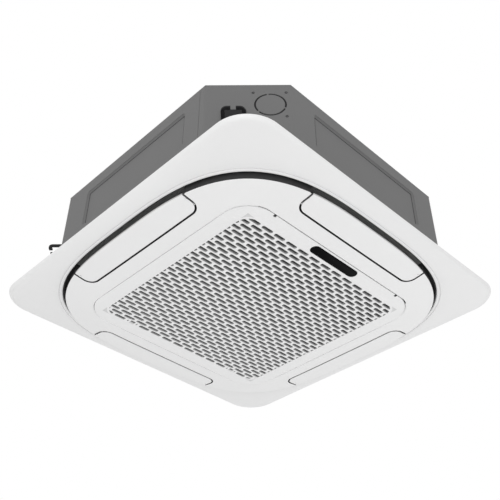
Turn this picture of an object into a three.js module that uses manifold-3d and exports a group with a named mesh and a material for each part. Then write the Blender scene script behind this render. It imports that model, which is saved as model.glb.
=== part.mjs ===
// Four-way ceiling cassette air conditioner, in millimetres, +Z up.
// z = 0 is the lowest face, the middle of the intake grille. The front (the display side) looks along -Y.
// The square panel hangs under the ceiling, and the steel casing with the coil and the fan sits above it.

import * as THREE from 'three';
import { mergeVertices } from 'three/addons/utils/BufferGeometryUtils.js';
import Module from 'manifold-3d';

const wasm = await Module();
wasm.setup();

// ---------------------------------------------------------------------------
// Driving dimensions
// ---------------------------------------------------------------------------

// Gaps
const seatGap = 0.3; // between pieces that rest on, or fit into, each other
const runningGap = 1.5; // round pieces that turn or slide past a fixed one
const cut = 5; // how far a cutting tool runs past the material it cuts

// Panel, the part seen from the room
const panelWidth = 950;
const frameWidth = 47; // white frame, from the panel's edge in to the groove
const panelCornerRadius = 60;
const panelDepth = 56; // from the ceiling down to the lowest face
const frameEdge = 9; // height of the outer frame's rim
const frameEdgeRadius = 2.5;
const frameDrop = 20; // from the rim's underside down to the lip round the groove
const frameDropPower = 1.6; // above 1 makes the frame steeper at its outer edge
const frameInnerWall = 14; // height of the wall round the groove, above the lip
const frameWall = 3;
const lipRoll = 1.7; // the lip's small rolled edge
const grooveWidth = 10; // open groove between the floating centre panel and the frame's lip

// Floating centre panel: a shallow dome with a superellipse outline
const outlinePower = 3.3;
const domeRise = 13.5; // how far the rim lies above the middle
const domePower = 1.5;
const ringPlate = 2.5;

// Flaps
const flapWidth = 64; // from the centre panel's rim in to the middle of the flap's inner gap
const flapGap = 4;
const flapHalfLength = 205;
const flapCornerRadius = 26;
const flapPlate = 5;
const flapAxisInset = 25; // from the flap's inner edge out to its hinge axis
const flapAxisRise = 25; // hinge axis above the lowest face
const flapPinRadius = 3;
const flapPinHole = 3.6;
const flapLugRadius = 6;
const flapLugWidth = 5;
const flapLugFoot = 14;

// Duct frame, the dark moulding above the centre panel that carries the flaps
const ductWall = 3;
const ductSkirtInset = 2; // skirt behind the centre panel's edge
const ductFlange = 4;
const ductOuterWallHeight = 22;

// Intake grille
const ringWidth = 42.5; // from a flap's inner gap in to the seam round the grille
const grilleBorder = 38.5; // from the slotted field out to the grille's edge
const grilleCornerRadius = 75;
const seamGap = 3;
const grillePlate = 3;
const grilleFlange = 2;
const grilleFlangeHeight = 9;
const slotFieldRadius = 37;
const slotFieldDepth = 9;
const slotRowPitch = 21.2;
const slotPitch = 60;
const slotHeight = 15;
const slotWeb = 10.6;
const slotFieldMargin = 2;
const shortestSlot = 10;

// Grille hinge and catches
const hingeCornerGap = 18.5; // from the front edge's round corner in to the hinge
const hingeInset = 2.5; // from the grille's front edge in to the hinge axis
const hingeRise = 4.2; // hinge axis above the lowest face
const hingePinRadius = 1.2;
const hingePinHole = 1.5;
const hingeLugWidth = 5;
const hingeArmWidth = 5;
const hingeArmThickness = 4.4;
const hingeLegRise = 20;
const hingeLegHeight = 4;
const hingePlateWidth = 22;
const hingePlateHeight = 28;
const hingePlateThickness = 3;
const latchInset = 127.5; // from the grille's side in to the catch
const latchTravel = 6;
const latchTabWidth = 14;
const latchTabDepth = 5;
const latchPlateWidth = 30;
const latchPlateThickness = 3;
const latchPlateLength = 52;
const latchTabInset = 42.5; // from the grille's back edge in to the finger tabs

// Filter and display
const filterInset = 25.5; // from the grille's edge in to the filter
const filterCornerRadius = 30;
const filterThickness = 5;
const filterNet = 0.8;
const filterBorder = 14;
const filterBar = 6;
const filterWindows = 3;
const displayLength = 160;
const displayWidth = 27;
const displayInset = 18.5; // from the grille's front edge in to the display's middle
const displayThickness = 3;
const displayBoardThickness = 1.6;
const displayBoardBorder = 4;

// Casing
const ceilingLedge = 55; // how far the panel reaches beyond the casing
const bodyCornerCut = 142;
const casingHeight = 243;
const gasketThickness = 6;
const gasketWidth = 22;
const sheet = 2;
const recessWidth = 396;
const recessHeight = 116;
const recessDepth = 5;
const recessTopGap = 37; // from the casing's top down to the recess
const leftRecessShift = 10; // the -X side's recess lies this far towards the front
const lidFlange = 14;
const beadDepth = 4;
const beadWidth = 12;
const beadInnerRadius = 100;
const beadOuterRadius = 330;
const knockoutRadius = 37.5;
const knockoutSlot = 3;
const knockoutTab = 6; // half width of the tabs that hold the knock-out, in degrees
const knockoutTabs = 3;
const knockoutShift = 52; // along the corner face from its middle
const knockoutRise = 127; // above the casing's bottom

// Hanger brackets
const hangerInsetX = 30; // bolts inside the casing's right and left sides
const hangerInsetY = 75; // bolts inside its back and front sides
const hangerRise = 109; // bracket plate above the casing's bottom
const hangerThickness = 4;
const hangerWidth = 56;
const hangerReach = 24; // plate beyond the bolt's centre
const hangerSlot = 12;
const hangerArm = 9;
const hangerFlangeHeight = 44;
const hangerCorner = 14;

// Foam liner
const foamWall = 18;
const foamRoof = 8;

// Heat exchanger
const ductWidth = 72; // air passage between the liner and the coil
const coilThickness = 38;
const coilCornerRadius = 70;
const coilGap = 120; // from the square's corner to where the coil ends
const coilPlate = 3;
const coilRoofGap = 2;
const bendRadius = 10;
const bendTube = 4;
const bendRows = 4;
const bendPitch = 44;
const bendArch = 24; // height of the curve that a return bend follows

// Drain pan and bell mouth
const panHeight = 34;
const troughDepth = 12;
const troughMargin = 5;
const throatEndInset = 5; // pan's throats, inside the ends of the flaps
const panThroatWall = 6;
const bellFlare = 33.3; // from the bell mouth's throat out to its flange
const bellEyeGap = 4; // between the bell mouth and the fan's eye
const bellWall = 3;
const bellOverlap = 6; // how far the bell mouth reaches into the fan's eye
const sumpRadius = 34;
const sumpDepth = 10;
const sumpChannelWidth = 24;
const plugRadius = 11;
const plugFlange = 15;
const plugFlangeThickness = 3;
const plugNeckStep = 2;

// Fan and motor
const fanCoilGap = 38;
const fanRoofGap = 9;
const fanHeight = 148;
const fanHubPlate = 3;
const shroudWidth = 42;
const shroudRise = 36;
const shroudWall = 2.5;
const bladeCount = 7;
const bladeThickness = 6;
const bladeReach = 113.7; // from the fan's rim in to a blade's root
const bladeTipInset = 2;
const bladeSweep = 42; // degrees from a blade's root to its tip
const bladeBend = 1.25; // above 1 bends a blade more towards its tip
const bladeTaper = 0.7;
const bladeThickest = 0.35; // share of the way from the root to the tip
const hubFlare = 12; // how far the hub's cup widens upwards
const hubFlareInside = 10;
const motorRadius = 66;
const motorHeight = 82;
const motorCup = 8; // room between the motor and the hub's cup
const motorFoot = 14;
const motorFootReach = 22;
const motorFootThickness = 4;
const motorFootLap = 2;
const motorChamfer = 8;
const motorFeet = 3;
const shaftRadius = 6;
const shaftOut = 26;
const nutRadius = 11;
const nutHeight = 10;
const nutShaftGap = 0.4;
const bearingGap = 0.7; // round the shaft where it turns in the motor
const shaftEnd = 2; // shaft below the nut

// Drain pump and float switch
const pumpRadius = 24;
const pumpHeight = 58;
const pumpInset = 89.5; // from the corner's face in to the pump
const pumpRise = 12; // above the pan
const pumpNeck = 9;
const pumpBracketWidth = 40;
const floatRadius = 9;
const floatHeight = 14;
const floatStem = 2.5;
const floatStemGap = 0.6;
const floatHousing = 12;
const floatArmWidth = 7;
const floatTravel = 8;
const floatFoot = 2; // foot of the stem under the float
const floatShift = 46; // beside the pump, along the corner face
const drainTubeRadius = 12.5;
const drainTubeBore = 9.5;
const drainTubeOut = 32;
const drainTubeRise = 164; // above the casing's bottom
const drainTubeShift = 40; // along the corner face

// Refrigerant pipes
const gasPipeRadius = 8;
const liquidPipeRadius = 5;
const pipeBore = 0.72; // bore over outside radius
const pipeOut = 46;
const pipeSpacing = 52;
const gasPipeRise = 80; // above the casing's bottom
const pipeRun = 70;
const pipeStartGap = 17.2; // from a coil end's plate to where its pipe starts
const pipePlateThickness = 2;
const pipePlateWidth = 110;
const pipePlateHeight = 56;
const pipePlateBorder = 12;
const flareNutLength = 22;
const flareNutAcross = 1.45; // hexagon radius over pipe radius
const flareNutWall = 2;

// Control box
const boxLength = 340;
const boxWidth = 66;
const boxHeight = 26;
const boxSheet = 1.5;
const boardMargin = 8;
const boardThickness = 1.6;
const boardStandoff = 5;
const standoffRadius = 3;
const componentHeight = 9;
const capacitorRadius = 8;
const capacitorInset = 24; // from the board's end
const relayLength = 24;
const relayWidth = 16;
const relayInset = 66; // from the board's end
const relayEdge = 6; // from the board's front edge
const chokeLength = 26;
const chokeWidth = 26;
const chokeEdge = 8;
const terminalLength = 70;
const terminalWidth = 22;
const terminalHeight = 9;
const terminalWays = 5;
const terminalPitLength = 0.6; // share of a way's pitch
const terminalPitWidth = 0.7; // share of the block's width
const glandRadius = 10;
const glandFlange = 15;
const glandFlangeThickness = 3;
const glandRise = 58; // above the casing's bottom
const glandShift = 78; // along the corner face
const glandBore = 5;

// Flap motors
const flapMotorRadius = 12;
const flapMotorLength = 16;
const flapMotorOffset = 8; // shaft off the can's centre
const flapMotorTilt = 30; // degrees from upright of the line from the shaft to the can's centre
const flapMotorEar = 17.5;
const flapMotorEarThickness = 1.6;
const flapMotorEarWidth = 7;
const flapMotorGap = 0.6;

// Facets
const sideSteps = 3; // of the lofted outlines, from the middle of a side to its corner
const cornerSteps = 2; // of the same outlines, per half corner
const sideSpread = 0.75; // below 1 sets the steps closer together towards the corner
const arcSteps = 2; // two of these make a step round an arc
const wideArcSteps = 3;
const turnSteps = 18;
const tubeSides = 6;
const pipeSteps = 6;
const bendSteps = 3;
const domeShares = [0, 0.45, 1]; // where the dome's rings lie, from the slotted field to the rim
const frameShares = [0.2, 0.6]; // where the frame's rings lie, from its rim to the lip
const bladeSteps = 3;
const coilSteps = 4;

// ---------------------------------------------------------------------------
// Sizes worked out from them
// ---------------------------------------------------------------------------

const panelHalf = panelWidth / 2;
const lipHalf = panelHalf - frameWidth;
const centreHalf = lipHalf - grooveWidth;
const flapLine = centreHalf - flapWidth;
const grilleHalf = flapLine - ringWidth - seamGap;
const slotFieldHalf = grilleHalf - grilleBorder;
const fieldEdge = slotFieldHalf + slotFieldMargin;
const bodyHalf = panelHalf - ceilingLedge;
const cornerFace = (2 * bodyHalf - bodyCornerCut) / Math.SQRT2; // from the middle out to a cut corner's face
const casingBottom = panelDepth + gasketThickness;
const casingTop = casingBottom + casingHeight;
const lipZ = panelDepth - frameEdge - frameDrop;
const innerWallHalf = lipHalf - lipRoll;
const flapInner = flapLine + flapGap / 2;
const flapAxis = flapInner + flapAxisInset;
const flapEnd = flapHalfLength - flapGap / 2;
const flapSwing = Math.hypot(flapAxisInset, flapAxisRise);
const throatInner = flapAxis - flapSwing - runningGap;
const throatEnd = flapHalfLength + flapGap / 2 + seatGap;
const ductHalf = centreHalf - ductSkirtInset;
const ductBottom = domeRise + ringPlate + seatGap;
const ductOuter = innerWallHalf - seatGap;
const openingHalf = grilleHalf + seamGap;
const openingRadius = grilleCornerRadius;
const hingeY = -(grilleHalf - hingeInset);
const hingeSpacing = 2 * (grilleHalf - grilleCornerRadius - hingeCornerGap);
const latchSpacing = 2 * (grilleHalf - latchInset);
const latchTabLine = grilleHalf - latchTabInset;
const displayLine = grilleHalf - displayInset;
const filterHalf = grilleHalf - filterInset;
const throatHalfLength = flapHalfLength - throatEndInset;
const lidZ = casingTop - sheet;
const wrapTop = lidZ - seatGap;
const wrapInset = sheet + seatGap;
const panBottom = casingBottom;
const panTop = panBottom + panHeight;
const floatLow = panTop - troughDepth + floatFoot + 2 * seatGap; // the float's lowest place
const linerTop = lidZ - beadDepth - sheet - seatGap;
const linerBottom = panTop + seatGap;
const linerInset = sheet + seatGap + foamWall;
const coilOuter = bodyHalf - linerInset - ductWidth;
const coilInner = coilOuter - coilThickness;
const coilBottom = panTop - troughDepth + seatGap;
const coilTop = linerTop - foamRoof - coilRoofGap;
const fanRadius = coilInner - fanCoilGap;
const fanTop = linerTop - foamRoof - fanRoofGap;
const fanBottom = fanTop - fanHeight;
const eyeRadius = fanRadius - shroudWidth;
const bellTop = fanBottom + bellOverlap;
const bellThroat = eyeRadius - bellEyeGap - bellWall;
const bellFlange = bellThroat + bellFlare;
const bladeInnerRadius = fanRadius - bladeReach;
const motorTop = lidZ - beadDepth - sheet - seatGap;
const motorBottom = motorTop - motorHeight;
const cupRadius = motorRadius + motorCup;
const cupFloor = motorBottom - motorCup;
const pumpShift = cornerFace - pumpInset;

// ---------------------------------------------------------------------------
// Helpers: solids, outlines and shapes
// ---------------------------------------------------------------------------

/** A geometry with only its positions, its shared vertices merged. */
function weldedGeometry(geometry) {
  const bare = geometry.clone();
  bare.deleteAttribute('normal');
  bare.deleteAttribute('uv');
  return mergeVertices(bare, 1e-4);
}

/** The same geometry with its faces turned inside out. */
function flipped(geometry) {
  const index = Array.from(geometry.index.array);
  for (let i = 0; i < index.length; i += 3) {
    [index[i + 1], index[i + 2]] = [index[i + 2], index[i + 1]];
  }
  return geometry.clone().setIndex(index);
}

/** A closed three.js geometry as a solid that can be cut and joined, its faces outwards. */
function solid(geometry) {
  const welded = weldedGeometry(geometry);
  const vertProperties = new Float32Array(welded.attributes.position.array);
  const triVerts = new Uint32Array(welded.index.array);
  const body = new wasm.Manifold(new wasm.Mesh({ numProp: 3, vertProperties, triVerts }));
  return body.volume() < 0 ? solid(flipped(welded)) : body;
}

/** The geometry of a solid, for a THREE.Mesh. */
function geometryOf(body) {
  const { vertProperties, triVerts } = body.getMesh();
  const geometry = new THREE.BufferGeometry();
  geometry.setAttribute('position', new THREE.BufferAttribute(new Float32Array(vertProperties), 3));
  geometry.setIndex(new THREE.BufferAttribute(new Uint32Array(triVerts), 1));
  geometry.computeVertexNormals();
  return geometry;
}

/** All the given solids joined. */
function joined(...bodies) {
  return bodies.flat().reduce((sum, body) => sum.add(body));
}

/** Four copies of a geometry, as solids, at quarter turns about Z; the first is on the +X side. */
function quarterTurns(makeGeometry) {
  return [0, 1, 2, 3].map((turn) => solid(makeGeometry(turn).rotateZ((turn * Math.PI) / 2)));
}

/** A block between two corners. */
function boxGeometry(x0, x1, y0, y1, z0, z1) {
  const block = new THREE.BoxGeometry(x1 - x0, y1 - y0, z1 - z0);
  return block.translate((x0 + x1) / 2, (y0 + y1) / 2, (z0 + z1) / 2);
}

function box(x0, x1, y0, y1, z0, z1) {
  return solid(boxGeometry(x0, x1, y0, y1, z0, z1));
}

/** An outline raised from z0 to z1. */
function prismGeometry(shape, z0, z1, curveSegments = wideArcSteps) {
  const options = { depth: z1 - z0, bevelEnabled: false, curveSegments };
  return new THREE.ExtrudeGeometry(shape, options).translate(0, 0, z0);
}

function prism(shape, z0, z1, curveSegments) {
  return solid(prismGeometry(shape, z0, z1, curveSegments));
}

/** An upright cylinder. */
function discGeometry(radius, z0, z1, x = 0, y = 0, steps = turnSteps) {
  const geometry = new THREE.CylinderGeometry(radius, radius, z1 - z0, steps);
  return geometry.rotateX(Math.PI / 2).translate(x, y, (z0 + z1) / 2);
}

function disc(radius, z0, z1, x, y, steps) {
  return solid(discGeometry(radius, z0, z1, x, y, steps));
}

/** A rod between two points. */
function rodGeometry(radius, from, to, steps = tubeSides) {
  const along = new THREE.Vector3().subVectors(to, from);
  const geometry = new THREE.CylinderGeometry(radius, radius, along.length(), steps);
  const turn = new THREE.Quaternion().setFromUnitVectors(new THREE.Vector3(0, 1, 0), along.clone().normalize());
  const middle = new THREE.Vector3().addVectors(from, to).multiplyScalar(0.5);
  return geometry.applyQuaternion(turn).translate(middle.x, middle.y, middle.z);
}

function rod(radius, from, to, steps) {
  return solid(rodGeometry(radius, from, to, steps));
}

/** A profile of [radius, z] points, closed on itself, turned about Z. */
function turned(profile, steps = turnSteps) {
  const points = [...profile, profile[0]].map(([radius, z]) => new THREE.Vector2(radius, z));
  return solid(new THREE.LatheGeometry(points, steps).rotateX(Math.PI / 2));
}

/** A shape from a list of [x, y] points. */
function polygon(points) {
  return new THREE.Shape(points.map(([x, y]) => new THREE.Vector2(x, y)));
}

/** A rectangle with round corners, centred on the origin. */
function roundedRectangle(halfX, halfY, radius) {
  const r = Math.min(radius, halfX, halfY);
  const shape = new THREE.Shape();
  shape.absarc(halfX - r, halfY - r, r, 0, Math.PI / 2);
  shape.absarc(r - halfX, halfY - r, r, Math.PI / 2, Math.PI);
  shape.absarc(r - halfX, r - halfY, r, Math.PI, 1.5 * Math.PI);
  shape.absarc(halfX - r, r - halfY, r, 1.5 * Math.PI, 2 * Math.PI);
  shape.closePath();
  return shape;
}

function roundedSquare(half, radius) {
  return roundedRectangle(half, half, radius);
}

/** The casing's outline: a square with its corners cut off. */
function octagon(inset) {
  const half = bodyHalf - inset;
  const flat = bodyHalf - bodyCornerCut - inset * Math.tan(Math.PI / 8);
  return polygon([
    [half, -flat], [half, flat], [flat, half], [-flat, half],
    [-half, flat], [-half, -flat], [-flat, -half], [flat, -half],
  ]);
}

/** The polar angles that the lofted outlines share: along each side, and closer together at the corners. */
function outlineAngles() {
  const quarter = [];
  const arcStart = Math.atan2(panelHalf - panelCornerRadius, panelHalf);
  for (let step = 0; step < sideSteps; step += 1) {
    quarter.push(arcStart * (step / sideSteps) ** sideSpread);
  }
  for (let step = 0; step <= 2 * cornerSteps; step += 1) {
    const turn = (step * Math.PI) / (4 * cornerSteps);
    const x = panelHalf - panelCornerRadius * (1 - Math.cos(turn));
    const y = panelHalf - panelCornerRadius * (1 - Math.sin(turn));
    quarter.push(Math.atan2(y, x));
  }
  for (let step = sideSteps - 1; step > 0; step -= 1) {
    quarter.push(Math.PI / 2 - arcStart * (step / sideSteps) ** sideSpread);
  }
  return [0, 1, 2, 3].flatMap((turn) => quarter.map((angle) => angle + (turn * Math.PI) / 2));
}

const angles = outlineAngles();

/** Points of the superellipse |x|^n + |y|^n = half^n. */
function squirclePoints(half) {
  return angles.map((angle) => {
    const c = Math.cos(angle);
    const s = Math.sin(angle);
    const radius = half / (Math.abs(c) ** outlinePower + Math.abs(s) ** outlinePower) ** (1 / outlinePower);
    return new THREE.Vector2(radius * c, radius * s);
  });
}

/** Points of the panel's outer outline moved in by an inset. */
function outerPoints(inset) {
  return roundedSquarePoints(panelHalf - inset, Math.max(panelCornerRadius - inset, 1));
}

/** Points of a square with round corners, at the shared angles. */
function roundedSquarePoints(half, radius) {
  const centre = half - radius;
  return angles.map((angle) => {
    const c = Math.cos(angle);
    const s = Math.sin(angle);
    const flatReach = half / Math.max(Math.abs(c), Math.abs(s));
    if (flatReach * Math.min(Math.abs(c), Math.abs(s)) <= centre) {
      return new THREE.Vector2(flatReach * c, flatReach * s);
    }
    const along = centre * (Math.abs(c) + Math.abs(s));
    const reach = along + Math.sqrt(Math.max(along * along - 2 * centre * centre + radius * radius, 0));
    return new THREE.Vector2(reach * c, reach * s);
  });
}

function squircle(half) {
  return new THREE.Shape(squirclePoints(half));
}

/** A closed solid through rings of points; the last ring joins the first, or both ends are capped. */
function loft(rings, capped) {
  const count = rings[0].length;
  const positions = [];
  rings.forEach((ring) => ring.forEach((point) => positions.push(point.x, point.y, point.z)));
  const triangles = [];
  const bands = capped ? rings.length - 1 : rings.length;
  for (let band = 0; band < bands; band += 1) {
    const here = band * count;
    const next = ((band + 1) % rings.length) * count;
    for (let i = 0; i < count; i += 1) {
      const j = (i + 1) % count;
      triangles.push(here + i, here + j, next + j, here + i, next + j, next + i);
    }
  }
  if (capped) {
    const last = (rings.length - 1) * count;
    for (let i = 1; i < count - 1; i += 1) {
      triangles.push(0, i + 1, i);
      triangles.push(last, last + i, last + i + 1);
    }
  }
  const geometry = new THREE.BufferGeometry();
  geometry.setAttribute('position', new THREE.Float32BufferAttribute(positions, 3));
  geometry.setIndex(triangles);
  return solid(geometry);
}

function ringAt(points, z) {
  return points.map((point) => new THREE.Vector3(point.x, point.y, z));
}

// ---------------------------------------------------------------------------
// The scene: one named mesh for each piece
// ---------------------------------------------------------------------------

const unit = new THREE.Group();

const finishes = {
  whitePlastic: { color: 0xe9e9e9, roughness: 0.45, metalness: 0 },
  darkPlastic: { color: 0x3c3c3c, roughness: 0.6, metalness: 0 },
  blackPlastic: { color: 0x101010, roughness: 0.15, metalness: 0 },
  casingPaint: { color: 0x747474, roughness: 0.6, metalness: 0.2 },
  blackPaint: { color: 0x1c1c1c, roughness: 0.5, metalness: 0.3 },
  zincSteel: { color: 0xa9abad, roughness: 0.4, metalness: 0.8 },
  foam: { color: 0xd8d8d6, roughness: 0.95, metalness: 0 },
  blackFoam: { color: 0x26262a, roughness: 0.95, metalness: 0 },
  aluminium: { color: 0xb9bcc0, roughness: 0.45, metalness: 0.9 },
  copper: { color: 0xb4693c, roughness: 0.35, metalness: 0.95 },
  brass: { color: 0xb89a4a, roughness: 0.35, metalness: 0.9 },
  greyPlastic: { color: 0xa8abae, roughness: 0.5, metalness: 0 },
  bluePlastic: { color: 0x7d8fa0, roughness: 0.5, metalness: 0 },
  rubber: { color: 0x1a1a1a, roughness: 0.85, metalness: 0 },
  circuitBoard: { color: 0x1f5a35, roughness: 0.5, metalness: 0 },
  cream: { color: 0xd9d4c4, roughness: 0.5, metalness: 0 },
};

/** Adds one piece to the unit, at quarter turns about Z if asked. */
function piece(name, body, finish, quarters = 0) {
  const mesh = new THREE.Mesh(geometryOf(body), new THREE.MeshStandardMaterial(finishes[finish]));
  mesh.name = name;
  mesh.rotation.z = (quarters * Math.PI) / 2;
  unit.add(mesh);
}

// ---------------------------------------------------------------------------
// Panel
// ---------------------------------------------------------------------------

/** Height of the centre panel's underside at a share of the way from the slotted field's edge to the rim. */
function domeRiseAt(share) {
  return domeRise * share ** domePower;
}

/** The same height at a distance from the middle, measured square to a side. */
function domeHeight(distance) {
  return domeRiseAt(Math.max(distance - fieldEdge, 0) / (centreHalf - fieldEdge));
}

/** The centre panel's domed border as one plate, before it is cut into grille rim, ring and flaps. */
function domePlate(thickness) {
  const field = roundedSquarePoints(fieldEdge, slotFieldRadius);
  const rim = squirclePoints(centreHalf);
  const ring = (share, lift) => {
    const points = field.map((point, i) => point.clone().lerp(rim[i], share));
    return ringAt(points, domeRiseAt(share) + lift);
  };
  const start = (lift) => ringAt(roundedSquarePoints(slotFieldHalf, slotFieldRadius), lift);
  const under = domeShares.map((share) => ring(share, 0));
  const above = domeShares.map((share) => ring(share, thickness)).reverse();
  return loft([start(0), ...under, ...above, start(thickness)], false);
}

/** The white outer frame: from a square rim with round corners it drops to the lip round the groove. */
function panelFrame() {
  const rimZ = panelDepth - frameEdge;
  const outer = outerPoints(frameEdgeRadius);
  const lip = squirclePoints(lipHalf);
  const blend = (share) => outer.map((point, i) => point.clone().lerp(lip[i], share));
  const drop = (share) => rimZ - frameDrop * (1 - (1 - share) ** frameDropPower);
  const underside = frameShares.map((share) => ringAt(blend(share), drop(share)));
  const back = frameShares.map((share) => ringAt(blend(share), drop(share) + frameWall)).reverse();
  return loft([
    ringAt(outerPoints(0), panelDepth),
    ringAt(outerPoints(0), rimZ + frameEdgeRadius),
    ringAt(outer, rimZ),
    ...underside,
    ringAt(lip, lipZ),
    ringAt(squirclePoints(innerWallHalf), lipZ + lipRoll),
    ringAt(squirclePoints(innerWallHalf), lipZ + frameInnerWall),
    ringAt(squirclePoints(innerWallHalf + frameWall), lipZ + frameInnerWall),
    ringAt(squirclePoints(innerWallHalf + frameWall), lipZ + lipRoll + frameWall),
    ...back,
    ringAt(outerPoints(frameWall + seatGap), rimZ + frameWall),
    ringAt(outerPoints(frameWall), panelDepth),
  ], false);
}

/** The opening that a flap closes, as an outline on the +X side; grown moves all its edges out. */
function flapOutline(grown) {
  const inner = flapInner - grown;
  const half = flapEnd + grown;
  const radius = flapCornerRadius - flapGap / 2 + grown;
  const outer = lipHalf + cut;
  const shape = new THREE.Shape();
  shape.moveTo(outer, -half);
  shape.lineTo(outer, half);
  shape.absarc(inner + radius, half - radius, radius, Math.PI / 2, Math.PI);
  shape.absarc(inner + radius, radius - half, radius, Math.PI, 1.5 * Math.PI);
  shape.closePath();
  return shape;
}

/** The white ring between the intake grille and the flaps. */
function centreRing() {
  const high = domeRise + cut + slotFieldDepth;
  const opening = prism(roundedSquare(openingHalf, openingRadius), -cut, high);
  const flapOpenings = quarterTurns(() => prismGeometry(flapOutline(flapGap), -cut, high));
  return domePlate(ringPlate).subtract(opening).subtract(joined(flapOpenings));
}

/** One flap with its end lugs and hinge pins, on the +X side. */
function flap() {
  const plate = domePlate(flapPlate).intersect(prism(flapOutline(0), -cut, domeRise + flapPlate + cut));
  const pinEnd = throatEnd + ductWall;
  const lugOuter = flapEnd - seatGap;
  const foot = domeHeight(flapAxis) + flapPlate / 2;
  const lugShape = new THREE.Shape();
  lugShape.moveTo(flapAxis - flapLugFoot, foot);
  lugShape.lineTo(flapAxis + flapLugFoot, foot);
  lugShape.absarc(flapAxis, flapAxisRise, flapLugRadius, 0, Math.PI);
  lugShape.closePath();
  const lugs = [1, -1].map((side) => {
    const lug = prismGeometry(lugShape, 0, flapLugWidth, arcSteps).rotateX(Math.PI / 2);
    return solid(lug.translate(0, side > 0 ? lugOuter : flapLugWidth - lugOuter, 0));
  });
  const pins = [1, -1].map((side) => rod(
    flapPinRadius,
    new THREE.Vector3(flapAxis, side * (lugOuter - flapLugWidth / 2), flapAxisRise),
    new THREE.Vector3(flapAxis, side * pinEnd, flapAxisRise),
  ));
  return joined(plate, lugs, pins);
}

/** The dark moulding above the centre panel: intake well, corner skirts and the four outlet throats. */
function ductFrame() {
  const top = panelDepth - seatGap;
  const outerWallBottom = top - ductOuterWallHeight;
  const skirt = prism(squircle(ductHalf), ductBottom, top);
  const flange = prism(squircle(ductOuter), top - ductFlange, top);
  const outerWall = prism(squircle(ductOuter), outerWallBottom, top)
    .subtract(prism(squircle(ductOuter - ductWall), -cut, top + cut));
  const well = prism(roundedSquare(openingHalf + seamGap, openingRadius), -cut, top + cut);
  const throat = () => boxGeometry(throatInner, ductOuter + cut, -throatEnd, throatEnd, -cut, top + cut);
  const corners = quarterTurns(() => boxGeometry(
    throatEnd + ductWall, ductOuter, throatEnd + ductWall, ductOuter, ductBottom + ductWall, top + cut,
  ));
  const wellWall = prism(roundedSquare(openingHalf + seamGap + ductWall, openingRadius), -cut, top + 2 * cut);
  const pockets = joined(corners).intersect(prism(squircle(ductHalf - ductWall), -cut, top + 2 * cut));
  const channel = () => boxGeometry(
    openingHalf + seamGap + ductWall, throatInner - ductWall, -throatEnd, throatEnd,
    ductBottom + ductWall, top + cut,
  );
  const pinHoles = quarterTurns(() => rodGeometry(
    flapPinHole,
    new THREE.Vector3(flapAxis, -throatEnd - 2 * ductWall, flapAxisRise),
    new THREE.Vector3(flapAxis, throatEnd + 2 * ductWall, flapAxisRise),
  ));
  return joined(skirt, flange)
    .subtract(joined(quarterTurns(throat)))
    .add(outerWall)
    .subtract(well)
    .subtract(pockets.subtract(wellWall))
    .subtract(joined(quarterTurns(channel)))
    .subtract(joined(pinHoles));
}

/** Stepper motor of one flap, behind the throat's end wall on the +X side. */
function flapMotor() {
  const start = throatEnd + ductWall + seatGap;
  const tilt = THREE.MathUtils.degToRad(flapMotorTilt);
  const centreX = flapAxis - flapMotorOffset * Math.sin(tilt);
  const centreZ = flapAxisRise + flapMotorOffset * Math.cos(tilt);
  const can = rod(
    flapMotorRadius,
    new THREE.Vector3(centreX, start, centreZ),
    new THREE.Vector3(centreX, start + flapMotorLength, centreZ),
    2 * tubeSides,
  );
  const ears = box(
    centreX - flapMotorEar, centreX + flapMotorEar,
    start, start + flapMotorEarThickness,
    centreZ - flapMotorEarWidth / 2, centreZ + flapMotorEarWidth / 2,
  );
  const socket = rod(
    flapPinRadius + flapMotorGap,
    new THREE.Vector3(flapAxis, start - cut, flapAxisRise),
    new THREE.Vector3(flapAxis, start + cut, flapAxisRise),
  );
  return joined(can, ears).subtract(socket);
}

// ---------------------------------------------------------------------------
// Intake grille
// ---------------------------------------------------------------------------

/** How far the slots may reach to the side at a given distance from the middle row. */
function slotLimit(y) {
  const corner = slotFieldHalf - slotFieldRadius;
  const over = Math.max(Math.abs(y) - corner, 0);
  const arc = Math.sqrt(Math.max(slotFieldRadius ** 2 - over ** 2, 0));
  return corner + arc - slotFieldMargin;
}

/** The staggered slots as boxes, trimmed to the round-cornered field and kept off the two catches. */
function slotCutters() {
  const rows = Math.floor((2 * slotFieldHalf - slotRowPitch + slotHeight) / slotRowPitch);
  const slots = [];
  for (let row = 0; row < rows; row += 1) {
    const y = (row - (rows - 1) / 2) * slotRowPitch;
    const limit = slotLimit(Math.abs(y) + slotHeight / 2);
    const shift = row % 2 === 0 ? 0 : slotPitch / 2;
    const reach = Math.ceil(slotFieldHalf / slotPitch) + 1;
    for (let column = -reach; column <= reach; column += 1) {
      const middle = column * slotPitch + shift;
      const left = Math.max(middle - (slotPitch - slotWeb) / 2, -limit);
      const right = Math.min(middle + (slotPitch - slotWeb) / 2, limit);
      const atLatch = y + slotHeight / 2 > latchTabLine - latchTravel - latchTabDepth
        && right > latchSpacing / 2 - latchTabWidth && left < latchSpacing / 2 + latchTabWidth;
      const atOtherLatch = y + slotHeight / 2 > latchTabLine - latchTravel - latchTabDepth
        && left < latchTabWidth - latchSpacing / 2 && right > -latchTabWidth - latchSpacing / 2;
      if (right - left >= shortestSlot && !atLatch && !atOtherLatch) {
        slots.push(box(left, right, y - slotHeight / 2, y + slotHeight / 2, -cut, slotFieldDepth + cut));
      }
    }
  }
  return slots;
}

/** Joins many solids in pairs, which is quicker than one after another. */
function joinedMany(bodies) {
  let round = bodies;
  while (round.length > 1) {
    const next = [];
    for (let i = 0; i < round.length; i += 2) {
      next.push(i + 1 < round.length ? round[i].add(round[i + 1]) : round[i]);
    }
    round = next;
  }
  return round[0];
}

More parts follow.
